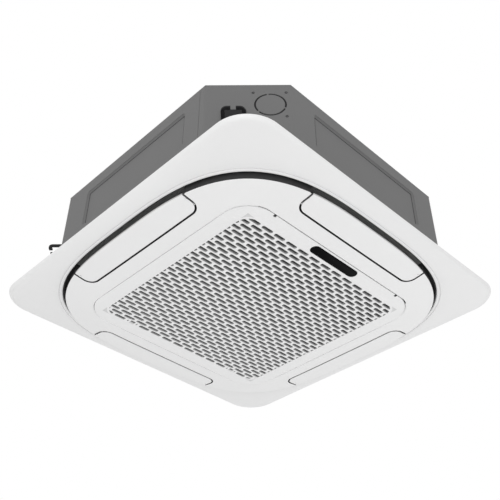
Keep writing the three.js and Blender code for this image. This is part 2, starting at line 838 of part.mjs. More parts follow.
function displayShape(grown) {
  const radius = displayWidth / 2 + grown;
  const shape = roundedRectangle(displayLength / 2 + grown, radius, radius);
  return prismGeometry(shape, -cut, slotFieldDepth + cut, wideArcSteps).translate(0, -displayLine, 0);
}

/** The hinged grille: domed rim, thick slotted field, upright flange, hinge lugs and catch openings. */
function intakeGrille() {
  const high = slotFieldDepth + domeRise + cut;
  const outline = roundedSquare(grilleHalf, grilleCornerRadius);
  const rim = domePlate(grillePlate).intersect(prism(outline, -cut, high));
  const field = prism(roundedSquare(fieldEdge, slotFieldRadius), 0, slotFieldDepth);
  const flange = prism(outline, grillePlate + domeHeight(grilleHalf) / 2, grilleFlangeHeight)
    .subtract(prism(roundedSquare(grilleHalf - grilleFlange, grilleCornerRadius - grilleFlange), -cut, high));
  const lugs = [1, -1].map((side) => {
    const x0 = side * (hingeSpacing / 2) - hingeLugWidth / 2;
    return box(x0, x0 + hingeLugWidth, -grilleHalf, hingeY + hingeArmThickness / 2,
      grillePlate / 2 + domeHeight(grilleHalf), hingeRise + hingeArmThickness / 2);
  });
  const lugHoles = [1, -1].map((side) => rod(
    hingePinHole,
    new THREE.Vector3(side * (hingeSpacing / 2) - hingeLugWidth, hingeY, hingeRise),
    new THREE.Vector3(side * (hingeSpacing / 2) + hingeLugWidth, hingeY, hingeRise),
  ));
  const armNotches = [1, -1].map((side) => {
    const middle = side * (hingeSpacing / 2 + hingeLugWidth / 2 + runningGap / 2 + hingeArmWidth / 2);
    const half = hingeArmWidth / 2 + runningGap;
    const notchBack = hingeY + hingeArmThickness * Math.SQRT1_2 + seatGap;
    return box(middle - half, middle + half, -grilleHalf - cut, notchBack, -cut, grilleFlangeHeight + cut);
  });
  const tabHalf = latchTabWidth / 2 + seatGap;
  const catches = [1, -1].map((side) => box(
    side * (latchSpacing / 2) - tabHalf, side * (latchSpacing / 2) + tabHalf,
    latchTabLine - latchTabDepth / 2 - latchTravel - runningGap, latchTabLine + latchTabDepth / 2 + seatGap,
    -cut, high,
  ));
  return joined(rim, field, flange)
    .subtract(joined(armNotches))
    .add(joined(lugs))
    .subtract(joined(lugHoles))
    .subtract(joined(catches))
    .subtract(solid(displayShape(seatGap)))
    .subtract(joinedMany(slotCutters()));
}

/** One hinge arm of the grille with its pin, fixed to the duct frame's well; side is +1 or -1. */
function hingeArm(side) {
  const lugFace = hingeSpacing / 2 + hingeLugWidth / 2 + runningGap / 2;
  const x0 = Math.min(side * lugFace, side * (lugFace + hingeArmWidth));
  const wallY = -(openingHalf + seamGap) + seatGap;
  const armTop = hingeRise + hingeLegRise - hingeLegHeight / 2;
  const arm = box(x0, x0 + hingeArmWidth, hingeY - hingeArmThickness / 2, hingeY + hingeArmThickness / 2,
    hingeRise - hingeArmThickness / 2, armTop);
  const leg = box(x0, x0 + hingeArmWidth, wallY, hingeY + hingeArmThickness / 2, armTop - seatGap,
    armTop + hingeLegHeight);
  const middle = side * (lugFace + hingeArmWidth / 2);
  const plate = box(middle - hingePlateWidth / 2, middle + hingePlateWidth / 2,
    wallY, wallY + hingePlateThickness, armTop, armTop + hingePlateHeight);
  const pin = rod(
    hingePinRadius,
    new THREE.Vector3(side * (lugFace + hingeArmWidth / 2), hingeY, hingeRise),
    new THREE.Vector3(side * (hingeSpacing / 2 - hingeLugWidth / 2 - seatGap), hingeY, hingeRise),
  );
  return joined(arm, leg, plate, pin);
}

/** A sliding catch with its finger tab; side is +1 or -1. */
function latch(side) {
  const middle = side * (latchSpacing / 2);
  const low = slotFieldDepth + seatGap;
  const back = grilleHalf + seamGap / 2;
  const plate = box(middle - latchPlateWidth / 2, middle + latchPlateWidth / 2, back - latchPlateLength, back,
    low, low + latchPlateThickness);
  const tab = box(middle - latchTabWidth / 2, middle + latchTabWidth / 2,
    latchTabLine - latchTabDepth / 2, latchTabLine + latchTabDepth / 2, seatGap, low + latchPlateThickness / 2);
  return plate.add(tab);
}

/** The washable filter: a moulded frame over a thin net, notched round the two catches. */
function airFilter() {
  const low = slotFieldDepth + seatGap;
  const high = low + filterThickness;
  const frame = prism(roundedSquare(filterHalf, filterCornerRadius), low, high);
  const inner = 2 * (filterHalf - filterBorder);
  const window = (inner - (filterWindows - 1) * filterBar) / filterWindows;
  const windows = [];
  for (let i = 0; i < filterWindows; i += 1) {
    for (let j = 0; j < filterWindows; j += 1) {
      const x = -inner / 2 + i * (window + filterBar);
      const y = -inner / 2 + j * (window + filterBar);
      windows.push(box(x, x + window, y, y + window, low + filterNet, high + cut));
    }
  }
  const notchHalf = latchPlateWidth / 2 + runningGap;
  const notchFront = grilleHalf + seamGap / 2 - latchPlateLength - latchTravel - runningGap;
  const aroundCatches = (margin, z0, z1) => joined([1, -1].map((side) => {
    const middle = side * (latchSpacing / 2);
    const half = notchHalf + margin;
    return box(middle - half, middle + half, notchFront - margin, filterHalf + cut, z0, z1);
  }));
  return frame.subtract(joinedMany(windows))
    .add(aroundCatches(filterBar, low, high).intersect(frame))
    .subtract(aroundCatches(0, low - cut, high + cut));
}

/** The black display window, flush in the grille's rim. */
function displayLens() {
  return solid(displayShape(0)).intersect(box(-panelHalf, panelHalf, -panelHalf, 0, seatGap, displayThickness));
}

function displayBoard() {
  const low = grillePlate + domeHeight(displayLine + displayWidth / 2) + 2 * seatGap;
  const half = displayLength / 2 - displayBoardBorder;
  const shape = roundedRectangle(half, (displayWidth - displayBoardBorder) / 2, displayBoardBorder / 2);
  return solid(prismGeometry(shape, low, low + displayBoardThickness, 2).translate(0, -displayLine, 0));
}

// ---------------------------------------------------------------------------
// Casing
// ---------------------------------------------------------------------------

/** The four shallow recesses pressed into the sides; grown makes them larger all round. */
function sideRecesses(grown) {
  const high = casingTop - recessTopGap + grown;
  const low = casingTop - recessTopGap - recessHeight - grown;
  const half = recessWidth / 2 + grown;
  return joined(quarterTurns((turn) => {
    const middle = turn === 2 ? leftRecessShift : 0;
    return boxGeometry(bodyHalf - recessDepth - grown, bodyHalf + cut, middle - half, middle + half, low, high);
  }));
}

/** A place on a cut corner's face: corner 0 is +X+Y, counted anticlockwise; along runs left, seen from outside. */
function cornerFrame(corner, along, out, z) {
  const face = cornerFace + out;
  const turn = Math.PI / 4 + (corner * Math.PI) / 2;
  const x = face * Math.cos(turn) - along * Math.sin(turn);
  const y = face * Math.sin(turn) + along * Math.cos(turn);
  return new THREE.Vector3(x, y, z);
}

/** The round slots that part a knock-out from the casing except at its tabs. */
function knockoutSlots() {
  const tab = THREE.MathUtils.degToRad(knockoutTab);
  const middle = cornerFrame(2, knockoutShift, 0, casingBottom + knockoutRise);
  const inner = knockoutRadius - knockoutSlot;
  const slots = [];
  for (let i = 0; i < knockoutTabs; i += 1) {
    const from = (i * 2 * Math.PI) / knockoutTabs + tab;
    const to = ((i + 1) * 2 * Math.PI) / knockoutTabs - tab;
    const shape = new THREE.Shape();
    shape.absarc(0, 0, knockoutRadius, from, to, false);
    shape.absarc(0, 0, inner, to, from, true);
    shape.closePath();
    const slot = prismGeometry(shape, -cut, cut, wideArcSteps).rotateX(Math.PI / 2).rotateZ((3 * Math.PI) / 4);
    slots.push(solid(slot.translate(middle.x, middle.y, middle.z)));
  }
  return slots;
}

/** A short rod through a corner's face, as a hole cutter. */
function cornerHole(corner, along, z, radius, steps = 2 * tubeSides) {
  const inside = cornerFrame(corner, along, -recessDepth - cut, z);
  return rod(radius, inside, cornerFrame(corner, along, cut, z), steps);
}

/** Where the pipes, the drain and the cable leave, all on the +X+Y corner. */
const exits = {
  corner: 0,
  gas: { along: pipeSpacing / 2, z: casingBottom + gasPipeRise },
  liquid: { along: -pipeSpacing / 2, z: casingBottom + gasPipeRise },
  drain: { along: drainTubeShift, z: casingBottom + drainTubeRise },
  cable: { along: -glandShift, z: casingBottom + glandRise },
};

/** The casing's side wrap: one sheet bent round eight sides. */
function casingWrap() {
  const outer = prism(octagon(0), casingBottom, wrapTop).subtract(sideRecesses(0));
  const inner = prism(octagon(sheet), casingBottom - cut, wrapTop + cut).subtract(sideRecesses(sheet));
  return outer.subtract(inner)
    .subtract(joined(knockoutSlots()))
    .subtract(pipeWindow())
    .subtract(cornerHole(exits.corner, exits.drain.along, exits.drain.z, drainTubeRadius + seatGap))
    .subtract(cornerHole(exits.corner, exits.cable.along, exits.cable.z, glandRadius + seatGap));
}

/** The opening behind the pipe plate, smaller than the plate by its border. */
function pipeWindow() {
  const half = pipePlateWidth / 2 - pipePlateBorder;
  const high = pipePlateHeight / 2 - pipePlateBorder;
  const middle = cornerFrame(exits.corner, 0, 0, exits.gas.z);
  const block = boxGeometry(-cut - recessDepth, cut, -half, half, -high, high).rotateZ(Math.PI / 4);
  return solid(block.translate(middle.x, middle.y, middle.z));
}

/** The lid: a sheet with a turned-down flange, a pressed ring and eight pressed spokes. */
function topPlate() {
  const ringBead = (radius, low, extra) => turned([
    [radius - beadWidth / 2 - extra, low], [radius + beadWidth / 2 + extra, low],
    [radius + beadWidth / 2 + extra, casingTop + cut], [radius - beadWidth / 2 - extra, casingTop + cut],
  ]);
  const spoke = (turn, low, extra) => solid(boxGeometry(
    beadInnerRadius, beadOuterRadius, -beadWidth / 2 - extra, beadWidth / 2 + extra, low, casingTop + cut,
  ).rotateZ((turn * Math.PI) / 4));
  const beads = (low, extra) => joined(
    ringBead(beadOuterRadius, low, extra),
    [0, 1, 2, 3, 4, 5, 6, 7].map((turn) => spoke(turn, low, extra)),
  );
  const plate = prism(octagon(0), lidZ, casingTop);
  const flange = prism(octagon(wrapInset + recessDepth), lidZ - lidFlange, casingTop - sheet / 2)
    .subtract(prism(octagon(wrapInset + recessDepth + sheet), casingBottom, casingTop));
  const pressed = beads(lidZ - beadDepth, sheet).intersect(prism(octagon(0), casingBottom, casingTop));
  return joined(plate, flange, pressed).subtract(beads(casingTop - beadDepth, 0));
}

/** The foam gasket between the casing and the panel. */
function panelGasket() {
  return prism(octagon(seatGap), panelDepth + seatGap, casingBottom - seatGap)
    .subtract(prism(octagon(gasketWidth), casingBottom - 3 * cut, casingBottom + cut));
}

/** The foam liner: walls that follow the pressed sides, and a roof with a hole for the motor. */
function foamLiner() {
  const outer = prism(octagon(wrapInset), linerBottom, linerTop).subtract(sideRecesses(sheet + seatGap));
  const inner = prism(octagon(linerInset), linerBottom - cut, linerTop - foamRoof);
  const flangeRoom = prism(octagon(sheet), lidZ - lidFlange - seatGap, casingTop)
    .subtract(prism(octagon(wrapInset + recessDepth + sheet + seatGap), casingBottom, casingTop + cut));
  const motorHole = disc(cupRadius + motorCup + motorFootReach, linerBottom, casingTop);
  return outer.subtract(inner).subtract(flangeRoom).subtract(motorHole).subtract(cornerOpening());
}

/** Everything that passes the liner at the service corner: pipes, drain tube and cable. */
function cornerOpening() {
  const deep = foamWall + 2 * cut;
  const middle = cornerFrame(exits.corner, 0, -deep / 2, 0);
  const half = glandShift + glandRadius + cut;
  const low = casingBottom;
  const high = exits.drain.z + drainTubeRadius + cut;
  const block = boxGeometry(-deep / 2 - cut, deep / 2 + cut, -half, half, low, high).rotateZ(Math.PI / 4);
  return solid(block.translate(middle.x, middle.y, 0));
}

/** One hanger bracket on the corner between +X and +Y: a riveted foot and a slotted plate. */
function hangerBracket(signX, signY) {
  const bolt = new THREE.Vector2(signX * (bodyHalf - hangerInsetX), signY * (bodyHalf - hangerInsetY));
  const out = new THREE.Vector2(signX, signY).normalize();
  const side = new THREE.Vector2(-out.y, out.x);
  const start = cornerFace + seatGap - bolt.dot(out);
  const z = casingBottom + hangerRise;
  const half = hangerWidth / 2;
  const tip = hangerReach;
  const plan = new THREE.Shape();
  plan.moveTo(start, -half);
  plan.lineTo(tip - hangerCorner, -half);
  plan.absarc(tip - hangerCorner, -half + hangerCorner, hangerCorner, -Math.PI / 2, 0);
  plan.lineTo(tip, -hangerSlot / 2);
  plan.lineTo(tip - hangerArm, -hangerSlot / 2);
  plan.lineTo(tip - hangerArm, hangerArm - half);
  plan.lineTo(start + hangerArm, hangerArm - half);
  plan.lineTo(start + hangerArm, half - hangerArm);
  plan.lineTo(tip - hangerArm, half - hangerArm);
  plan.lineTo(tip - hangerArm, hangerSlot / 2);
  plan.lineTo(tip, hangerSlot / 2);
  plan.absarc(tip - hangerCorner, half - hangerCorner, hangerCorner, 0, Math.PI / 2);
  plan.lineTo(start, half);
  plan.closePath();
  const plate = prismGeometry(plan, 0, hangerThickness, 3);
  const foot = boxGeometry(start, start + hangerThickness, -half, half, 0, hangerFlangeHeight);
  const turn = new THREE.Matrix4().makeBasis(
    new THREE.Vector3(out.x, out.y, 0),
    new THREE.Vector3(side.x, side.y, 0),
    new THREE.Vector3(0, 0, 1),
  ).setPosition(bolt.x, bolt.y, z);
  return solid(plate.applyMatrix4(turn)).add(solid(foot.applyMatrix4(turn)));
}

// ---------------------------------------------------------------------------
// Inside the casing
// ---------------------------------------------------------------------------

/** The coil's plan: a rounded square band, open at the +X+Y corner. */
function coilBand(outer, inner, open) {
  const radius = coilCornerRadius;
  const innerRadius = Math.max(radius - (outer - inner), 5);
  const end = outer - open;
  const shape = new THREE.Shape();
  shape.moveTo(outer, end);
  shape.lineTo(outer, radius - outer);
  shape.absarc(outer - radius, radius - outer, radius, 0, -Math.PI / 2, true);
  shape.absarc(radius - outer, radius - outer, radius, -Math.PI / 2, -Math.PI, true);
  shape.absarc(radius - outer, outer - radius, radius, Math.PI, Math.PI / 2, true);
  shape.lineTo(end, outer);
  shape.lineTo(end, inner);
  shape.absarc(innerRadius - inner, inner - innerRadius, innerRadius, Math.PI / 2, Math.PI, false);
  shape.absarc(innerRadius - inner, innerRadius - inner, innerRadius, Math.PI, 1.5 * Math.PI, false);
  shape.absarc(inner - innerRadius, innerRadius - inner, innerRadius, 1.5 * Math.PI, 2 * Math.PI, false);
  shape.lineTo(inner, end);
  shape.closePath();
  return shape;
}

function heatExchanger() {
  return prism(coilBand(coilOuter, coilInner, coilGap), coilBottom, coilTop, coilSteps);
}

/** The coil's end plate with its return bends, at the end beside +X; the other end is its mirror image. */
function coilEnd(mirrored) {
  const face = coilOuter - coilGap + seatGap;
  const middle = (coilOuter + coilInner) / 2;
  const low = coilBottom;
  const plate = boxGeometry(coilInner, coilOuter, face, face + coilPlate, low, coilTop);
  const bends = [];
  const start = (coilBottom + coilTop) / 2 - ((bendRows - 1) * bendPitch) / 2;
  for (let row = 0; row < bendRows; row += 1) {
    bends.push(returnBend(middle, face + coilPlate / 2, start + row * bendPitch));
  }
  const mirror = (geometry) => weldedGeometry(geometry).applyMatrix4(acrossDiagonal);
  const place = (geometry) => solid(mirrored ? mirror(geometry) : geometry);
  return joined(place(plate), bends.map(place));
}

/** Swaps X and Y. */
const acrossDiagonal = new THREE.Matrix4().set(0, 1, 0, 0, 1, 0, 0, 0, 0, 0, 1, 0, 0, 0, 0, 1);

/** A return bend between two of the coil's tubes, along an arch in a level plane. */
function returnBend(x, y, z) {
  const arch = new THREE.QuadraticBezierCurve3(
    new THREE.Vector3(x - bendRadius, y, z),
    new THREE.Vector3(x, y + bendArch, z),
    new THREE.Vector3(x + bendRadius, y, z),
  );
  const section = new THREE.Shape();
  section.absarc(0, 0, bendTube, 0, 2 * Math.PI);
  const options = { steps: bendSteps, extrudePath: arch, curveSegments: tubeSides / 2, bevelEnabled: false };
  return new THREE.ExtrudeGeometry(section, options);
}

/** The foam drain pan: trough under the coil, four outlet throats, the bell mouth's opening and a sump. */
function drainPan() {
  const block = prism(octagon(wrapInset), panBottom, panTop);
  const centre = disc(bellFlange + seatGap, panBottom - cut, panTop + cut);
  const bandOuter = coilOuter + troughMargin;
  const bandInner = coilInner - troughMargin;
  const troughBottom = panTop - troughDepth;
  const band = coilBand(bandOuter, bandInner, coilGap - 2 * troughMargin);
  const trough = prism(band, troughBottom, panTop + cut, coilSteps);
  const throatOuter = bodyHalf - linerInset;
  const throat = () => boxGeometry(
    bandOuter + panThroatWall, throatOuter, -throatHalfLength, throatHalfLength, panBottom - cut, panTop + cut,
  );
  const at = diagonal(pumpShift);
  const sump = disc(sumpRadius, troughBottom - sumpDepth, panTop + cut, at.x, at.y);
  const floatAt = floatPlace();
  const floatWell = disc(floatRadius + 2 * runningGap, troughBottom, panTop + cut, floatAt.x, floatAt.y);
  const runStart = (coilOuter - coilGap) * Math.SQRT1_2;
  const runHalf = sumpChannelWidth / 2;
  const channel = boxGeometry(runStart, pumpShift, -runHalf, runHalf, troughBottom, panTop + cut);
  const run = solid(channel.rotateZ(Math.PI / 4));
  const plugHole = disc(plugRadius + seatGap, panBottom - cut, panTop, at.x, at.y);
  return block.subtract(centre).subtract(trough).subtract(joined(quarterTurns(throat)))
    .subtract(joined(sump, floatWell, run)).subtract(plugHole);
}

/** A point on the diagonal towards the service corner. */
function diagonal(distance) {
  return new THREE.Vector2(distance * Math.SQRT1_2, distance * Math.SQRT1_2);
}

function drainPlug() {
  const at = diagonal(pumpShift);
  const high = panTop - troughDepth - sumpDepth;
  const seat = high + seatGap;
  const stem = disc(plugRadius, panBottom, high, at.x, at.y, 2 * tubeSides);
  const flange = disc(plugFlange, seat, seat + plugFlangeThickness, at.x, at.y, 2 * tubeSides);
  const neck = disc(plugRadius - plugNeckStep, panBottom, high + plugFlangeThickness, at.x, at.y, 2 * tubeSides);
  return joined(stem, flange, neck);
}

/** The bell mouth that leads the air into the fan's eye. */
function bellMouth() {
  const low = panBottom;
  const rise = bellTop - low;
  const run = bellFlange - bellThroat;
  const curve = [0.2, 0.55, 0.85].map((share) => {
    const turn = (share * Math.PI) / 2;
    return [bellFlange - run * Math.sin(turn), low + rise * (1 - Math.cos(turn))];
  });
  const inside = [[bellFlange, low], ...curve, [bellThroat, bellTop]];
  const outside = [
    [bellThroat + bellWall, bellTop],
    ...curve.map(([radius, z]) => [radius + bellWall, z + bellWall]).reverse(),
  ];
  return turned([...inside, ...outside]);
}

/** One backward-curved blade's outline in plan, its root towards +X. */
function bladeShape() {
  const tip = fanRadius - bladeTipInset;
  const sweep = THREE.MathUtils.degToRad(bladeSweep);
  const polar = (radius, angle) => [radius * Math.cos(angle), radius * Math.sin(angle)];
  const outerSide = [];
  const innerSide = [];
  for (let i = 0; i <= bladeSteps; i += 1) {
    const share = i / bladeSteps;
    const radius = bladeInnerRadius + (tip - bladeInnerRadius) * share;
    const angle = -sweep * share ** bladeBend;
    const half = (bladeThickness / 2) * (1 - bladeTaper * Math.abs(share - bladeThickest));
    outerSide.push(polar(radius, angle + half / radius));
    innerSide.push(polar(radius, angle - half / radius));
  }
  return polygon([...innerSide, ...outerSide.reverse()]);
}

/** The turbo fan: hub with the motor's cup, backward-curved blades and the shroud round the eye. */
function turboFan() {
  const hub = turned([
    [shaftRadius + nutShaftGap, cupFloor - fanHubPlate], [cupRadius, cupFloor - fanHubPlate],
    [cupRadius + fanHubPlate + hubFlare, fanTop - fanHubPlate], [fanRadius, fanTop - fanHubPlate],
    [fanRadius, fanTop], [cupRadius + hubFlareInside, fanTop],
    [cupRadius - fanHubPlate, cupFloor], [shaftRadius + nutShaftGap, cupFloor],
  ]);
  const curve = [0, 0.35, 0.7, 1].map((share) => [
    eyeRadius + shroudWidth * share,
    fanBottom + shroudRise * Math.sin((share * Math.PI) / 2) ** 0.8,
  ]);
  const shroud = turned([
    ...curve,
    ...curve.map(([radius, z], i) => [radius + (i === 0 ? shroudWall : 0), z + shroudWall]).reverse(),
  ]);
  const room = turned([
    [bladeInnerRadius - cut, fanTop - fanHubPlate / 2],
    [bladeInnerRadius - cut, bellTop + 2 * runningGap],
    [eyeRadius + shroudWall, bellTop + 2 * runningGap],
    ...curve.slice(1).map(([radius, z]) => [radius, z + shroudWall / 2]),
    [fanRadius, fanTop - fanHubPlate / 2],
  ]);
  const blades = [];
  for (let i = 0; i < bladeCount; i += 1) {
    const blade = prismGeometry(bladeShape(), fanBottom, fanTop).rotateZ((i * 2 * Math.PI) / bladeCount);
    blades.push(solid(blade).intersect(room));
  }
  return joined(hub, shroud, blades);
}

/** The motor's can with its feet, hung under the lid. */
function fanMotor() {
  const can = turned([
    [0, motorBottom], [motorRadius - motorChamfer, motorBottom], [motorRadius, motorBottom + motorChamfer],
    [motorRadius, motorTop], [0, motorTop],
  ], turnSteps);
  const feet = [];
  for (let i = 0; i < motorFeet; i += 1) {
    feet.push(solid(boxGeometry(
      motorRadius - motorFootLap, motorRadius + motorFootReach, -motorFoot, motorFoot,
      motorTop - motorFootThickness, motorTop,
    ).rotateZ((i * 2 * Math.PI) / motorFeet + Math.PI / 8)));
  }
  return joined(can, feet)
    .subtract(disc(shaftRadius + bearingGap, motorBottom - cut, motorBottom + shaftOut, 0, 0, 2 * tubeSides));
}

function motorShaft() {
  const low = cupFloor - fanHubPlate - nutHeight - shaftEnd;
  return disc(shaftRadius, low, motorBottom + shaftOut - seatGap, 0, 0, 2 * tubeSides);
}

/** The nut under the hub that holds the fan on the shaft. */
function fanNut() {
  const top = cupFloor - fanHubPlate - seatGap;
  return disc(nutRadius, top - nutHeight, top, 0, 0, 6)
    .subtract(disc(shaftRadius + nutShaftGap, top - nutHeight - cut, top + cut, 0, 0, 2 * tubeSides));
}

/** The drain pump over the sump, with its suction neck. */
function drainPump() {
  const at = diagonal(pumpShift);
  const low = panTop + pumpRise;
  const can = disc(pumpRadius, low, low + pumpHeight, at.x, at.y, 2 * tubeSides);
  const neck = disc(pumpNeck, panTop - troughDepth - sumpDepth + 2 * plugFlangeThickness, low + 1, at.x, at.y,
    tubeSides);
  return can.add(neck);
}

/** The stay that hangs the pump from the lid. */
function pumpBracket() {
  const low = panTop + pumpRise + pumpHeight + seatGap;
  const half = pumpBracketWidth / 2;
  const top = linerTop - foamRoof - seatGap;
  const near = pumpShift - half;
  const far = pumpShift + half;
  const foot = boxGeometry(near, far, -half, half, low, low + sheet);
  const stay = boxGeometry(near, near + sheet, -half, half, low, top);
  const head = boxGeometry(near, far, -half, half, top - sheet, top);
  return joined([foot, stay, head].map((block) => solid(block.rotateZ(Math.PI / 4))));
}

/** The float switch's fixed stem and housing beside the pump. */
function floatSwitch() {
  const at = floatPlace();
  const low = panTop - troughDepth + seatGap;
  const stopZ = floatLow + floatHeight + floatTravel + runningGap;
  const housingTop = stopZ + floatHousing;
  const stem = disc(floatStem, low, stopZ + floatHousing / 2, at.x, at.y, tubeSides);
  const foot = disc(floatRadius, low, low + floatFoot, at.x, at.y, tubeSides);
  const housing = disc(floatRadius + floatFoot, stopZ, housingTop, at.x, at.y, tubeSides);
  const arm = boxGeometry(0, floatShift - pumpRadius, -floatArmWidth / 2, floatArmWidth / 2,
    housingTop - floatArmWidth, housingTop - seatGap);
  const back = diagonal(pumpShift);
  const beside = arm.translate(pumpRadius + seatGap, 0, 0).rotateZ(-Math.PI / 4);
  const reach = solid(beside.translate(back.x, back.y, 0));
  return joined(stem, foot, housing, reach);
}

/** The float itself, which rides up its stem. */
function floatRing() {
  const at = floatPlace();
  const high = floatLow + floatHeight;
  return disc(floatRadius, floatLow, high, at.x, at.y, 2 * tubeSides)
    .subtract(disc(floatStem + floatStemGap, floatLow - cut, high + cut, at.x, at.y, tubeSides));
}

function floatPlace() {
  const at = diagonal(pumpShift);
  return new THREE.Vector2(at.x + floatShift * Math.SQRT1_2, at.y - floatShift * Math.SQRT1_2);
}

/** A round tube with a bore along a curve, both ends open. */
function tube(curve, radius, bore, steps) {
  const section = new THREE.Shape();
  section.absarc(0, 0, radius, 0, 2 * Math.PI);
  const hole = new THREE.Path();
  hole.absarc(0, 0, bore, 0, 2 * Math.PI);
  section.holes.push(hole);
  const options = { steps, extrudePath: curve, curveSegments: tubeSides / 2, bevelEnabled: false };
  return solid(new THREE.ExtrudeGeometry(section, options));
}

/** A refrigerant pipe from the coil's end out through the service corner. */
function refrigerantPipe(exit, radius, fromX) {
  const end = cornerFrame(exits.corner, exit.along, pipeOut, exit.z);
  const outward = new THREE.Vector3(Math.SQRT1_2, Math.SQRT1_2, 0);
  const inside = cornerFrame(exits.corner, exit.along, -pipeRun, exit.z);
  const start = fromX;
  const curve = new THREE.CatmullRomCurve3([
    start, start.clone().lerp(inside, 0.5).add(new THREE.Vector3(0, 0, radius)), inside,
    inside.clone().addScaledVector(outward, (pipeRun + pipeOut) / 2), end,
  ], false, 'centripetal');
  return tube(curve, radius, radius * pipeBore, pipeSteps);
}

/** The coil's end towards which a pipe runs. */
function coilPort(mirrored, z) {
  const along = coilOuter - coilGap + coilPlate + pipeStartGap;
  const across = (coilOuter + coilInner) / 2 + bendRadius;
  return mirrored ? new THREE.Vector3(along, across, z) : new THREE.Vector3(across, along, z);
}

/** The hexagon nut at a pipe's end. */
function flareNut(exit, radius) {
  const from = cornerFrame(exits.corner, exit.along, pipeOut - flareNutLength, exit.z);
  const to = cornerFrame(exits.corner, exit.along, pipeOut, exit.z);
  const past = new THREE.Vector3().subVectors(to, from).normalize().multiplyScalar(cut);
  return rod(radius * flareNutAcross + flareNutWall, from, to, 6)
    .subtract(rod(radius + seatGap, from.clone().sub(past), to.clone().add(past), 2 * tubeSides));
}

/** The plate round the two pipes. */
function pipePlate() {
  const middle = cornerFrame(exits.corner, 0, seatGap, exits.gas.z);
  const half = pipePlateWidth / 2;
  const high = pipePlateHeight / 2;
  const block = boxGeometry(0, pipePlateThickness, -half, half, -high, high).rotateZ(Math.PI / 4);
  return solid(block.translate(middle.x, middle.y, middle.z))
    .subtract(cornerHole(exits.corner, exits.gas.along, exits.gas.z, gasPipeRadius + seatGap))
    .subtract(cornerHole(exits.corner, exits.liquid.along, exits.liquid.z, liquidPipeRadius + seatGap));
}

/** The drain outlet: a socket through the corner for the condensate pipe. */
function drainOutlet() {
  const { along, z } = exits.drain;
  const inner = cornerFrame(exits.corner, along, -pipeRun / 2, z);
  const outer = cornerFrame(exits.corner, along, drainTubeOut, z);
  const past = new THREE.Vector3().subVectors(outer, inner).normalize().multiplyScalar(cut);
  return rod(drainTubeRadius, inner, outer, 2 * tubeSides)
    .subtract(rod(drainTubeBore, inner.clone().sub(past), outer.clone().add(past), 2 * tubeSides));
}

/** The cable gland beside the pipes, with its bore. */
function cableGland() {
  const { along, z } = exits.cable;
  const inner = cornerFrame(exits.corner, along, -foamWall / 2, z);
  const face = cornerFrame(exits.corner, along, seatGap, z);
  const rim = cornerFrame(exits.corner, along, seatGap + glandFlangeThickness, z);
  const past = new THREE.Vector3().subVectors(rim, inner).normalize().multiplyScalar(cut);
  return rod(glandRadius, inner, rim, 2 * tubeSides)
    .add(rod(glandFlange, face, rim, 2 * tubeSides))
    .subtract(rod(glandBore, inner.clone().sub(past), rim.clone().add(past), tubeSides));
}

// ---------------------------------------------------------------------------
// Control box, under the front of the drain pan
// ---------------------------------------------------------------------------

const boxTop = panelDepth - seatGap;
const boxBack = -(bellFlange + seatGap);
const boxFront = boxBack - boxWidth;

/** The control box's steel tray, open below. */
function controlBox() {
  const half = boxLength / 2;
  return box(-half, half, boxFront, boxBack, boxTop - boxHeight, boxTop)
    .subtract(box(-half + boxSheet, half - boxSheet, boxFront + boxSheet, boxBack - boxSheet,
      boxTop - boxHeight - cut, boxTop - boxSheet));
}

/** Its cover, a tray that closes it from below. */
function controlCover() {
  const half = boxLength / 2;
  const top = boxTop - boxHeight - seatGap;
  const lip = boxSheet + seatGap;
  const rim = lip + boxSheet;
  return box(-half, half, boxFront, boxBack, top - boxSheet, top)
    .add(box(-half + lip, half - lip, boxFront + lip, boxBack - lip, top - boxSheet / 2, top + 2 * boxSheet))
    .subtract(box(-half + rim, half - rim, boxFront + rim, boxBack - rim, top, top + cut));
}

/** The circuit board with its largest components as blocks. */
function controlBoard() {
  const half = boxLength / 2 - boardMargin;
  const low = boxTop - boxSheet - boardStandoff - boardThickness;
  const board = box(-half + terminalLength, half, boxFront + boardMargin, boxBack - boardMargin, low,
    low + boardThickness);
  const foot = low + boardThickness / 2;
  const edge = boxFront + boardMargin;
  const capacitor = disc(
    capacitorRadius, low - componentHeight, foot, half - capacitorInset, (boxFront + boxBack) / 2, tubeSides,
  );
  const relay = box(half - relayInset - relayLength, half - relayInset, edge + relayEdge,
    edge + relayEdge + relayWidth, low - componentHeight, foot);
  const choke = box(0, chokeLength, edge + chokeEdge, edge + chokeEdge + chokeWidth,
    low - componentHeight, foot);
  const posts = [-half + terminalLength + boardMargin, half - boardMargin].map((x) => disc(
    standoffRadius, foot, boxTop - boxSheet - seatGap, x, (boxFront + boxBack) / 2, tubeSides,
  ));
  return joined(board, capacitor, relay, choke, posts);
}

/** The terminal block where the supply is wired. */
function terminalBlock() {
  const x0 = -boxLength / 2 + boardMargin;
  const high = boxTop - boxSheet - seatGap;
  const middle = (boxFront + boxBack) / 2;
  const block = box(x0, x0 + terminalLength - boardMargin,
    middle - terminalWidth / 2, middle + terminalWidth / 2, high - terminalHeight, high);
  const pitch = (terminalLength - boardMargin) / terminalWays;
  const halfPit = (pitch * terminalPitLength) / 2;
  const halfWide = (terminalWidth * terminalPitWidth) / 2;
  const pits = [];
  for (let way = 0; way < terminalWays; way += 1) {
    const x = x0 + pitch * (way + 0.5);
    pits.push(box(x - halfPit, x + halfPit, middle - halfWide, middle + halfWide,
      high - terminalHeight - cut, high - terminalHeight / 2));
  }
  return block.subtract(joined(pits));
}

// ---------------------------------------------------------------------------
// Assembly
// ---------------------------------------------------------------------------

piece('panel_frame', panelFrame(), 'whitePlastic');
piece('duct_frame', ductFrame(), 'darkPlastic');
piece('centre_ring', centreRing(), 'whitePlastic');

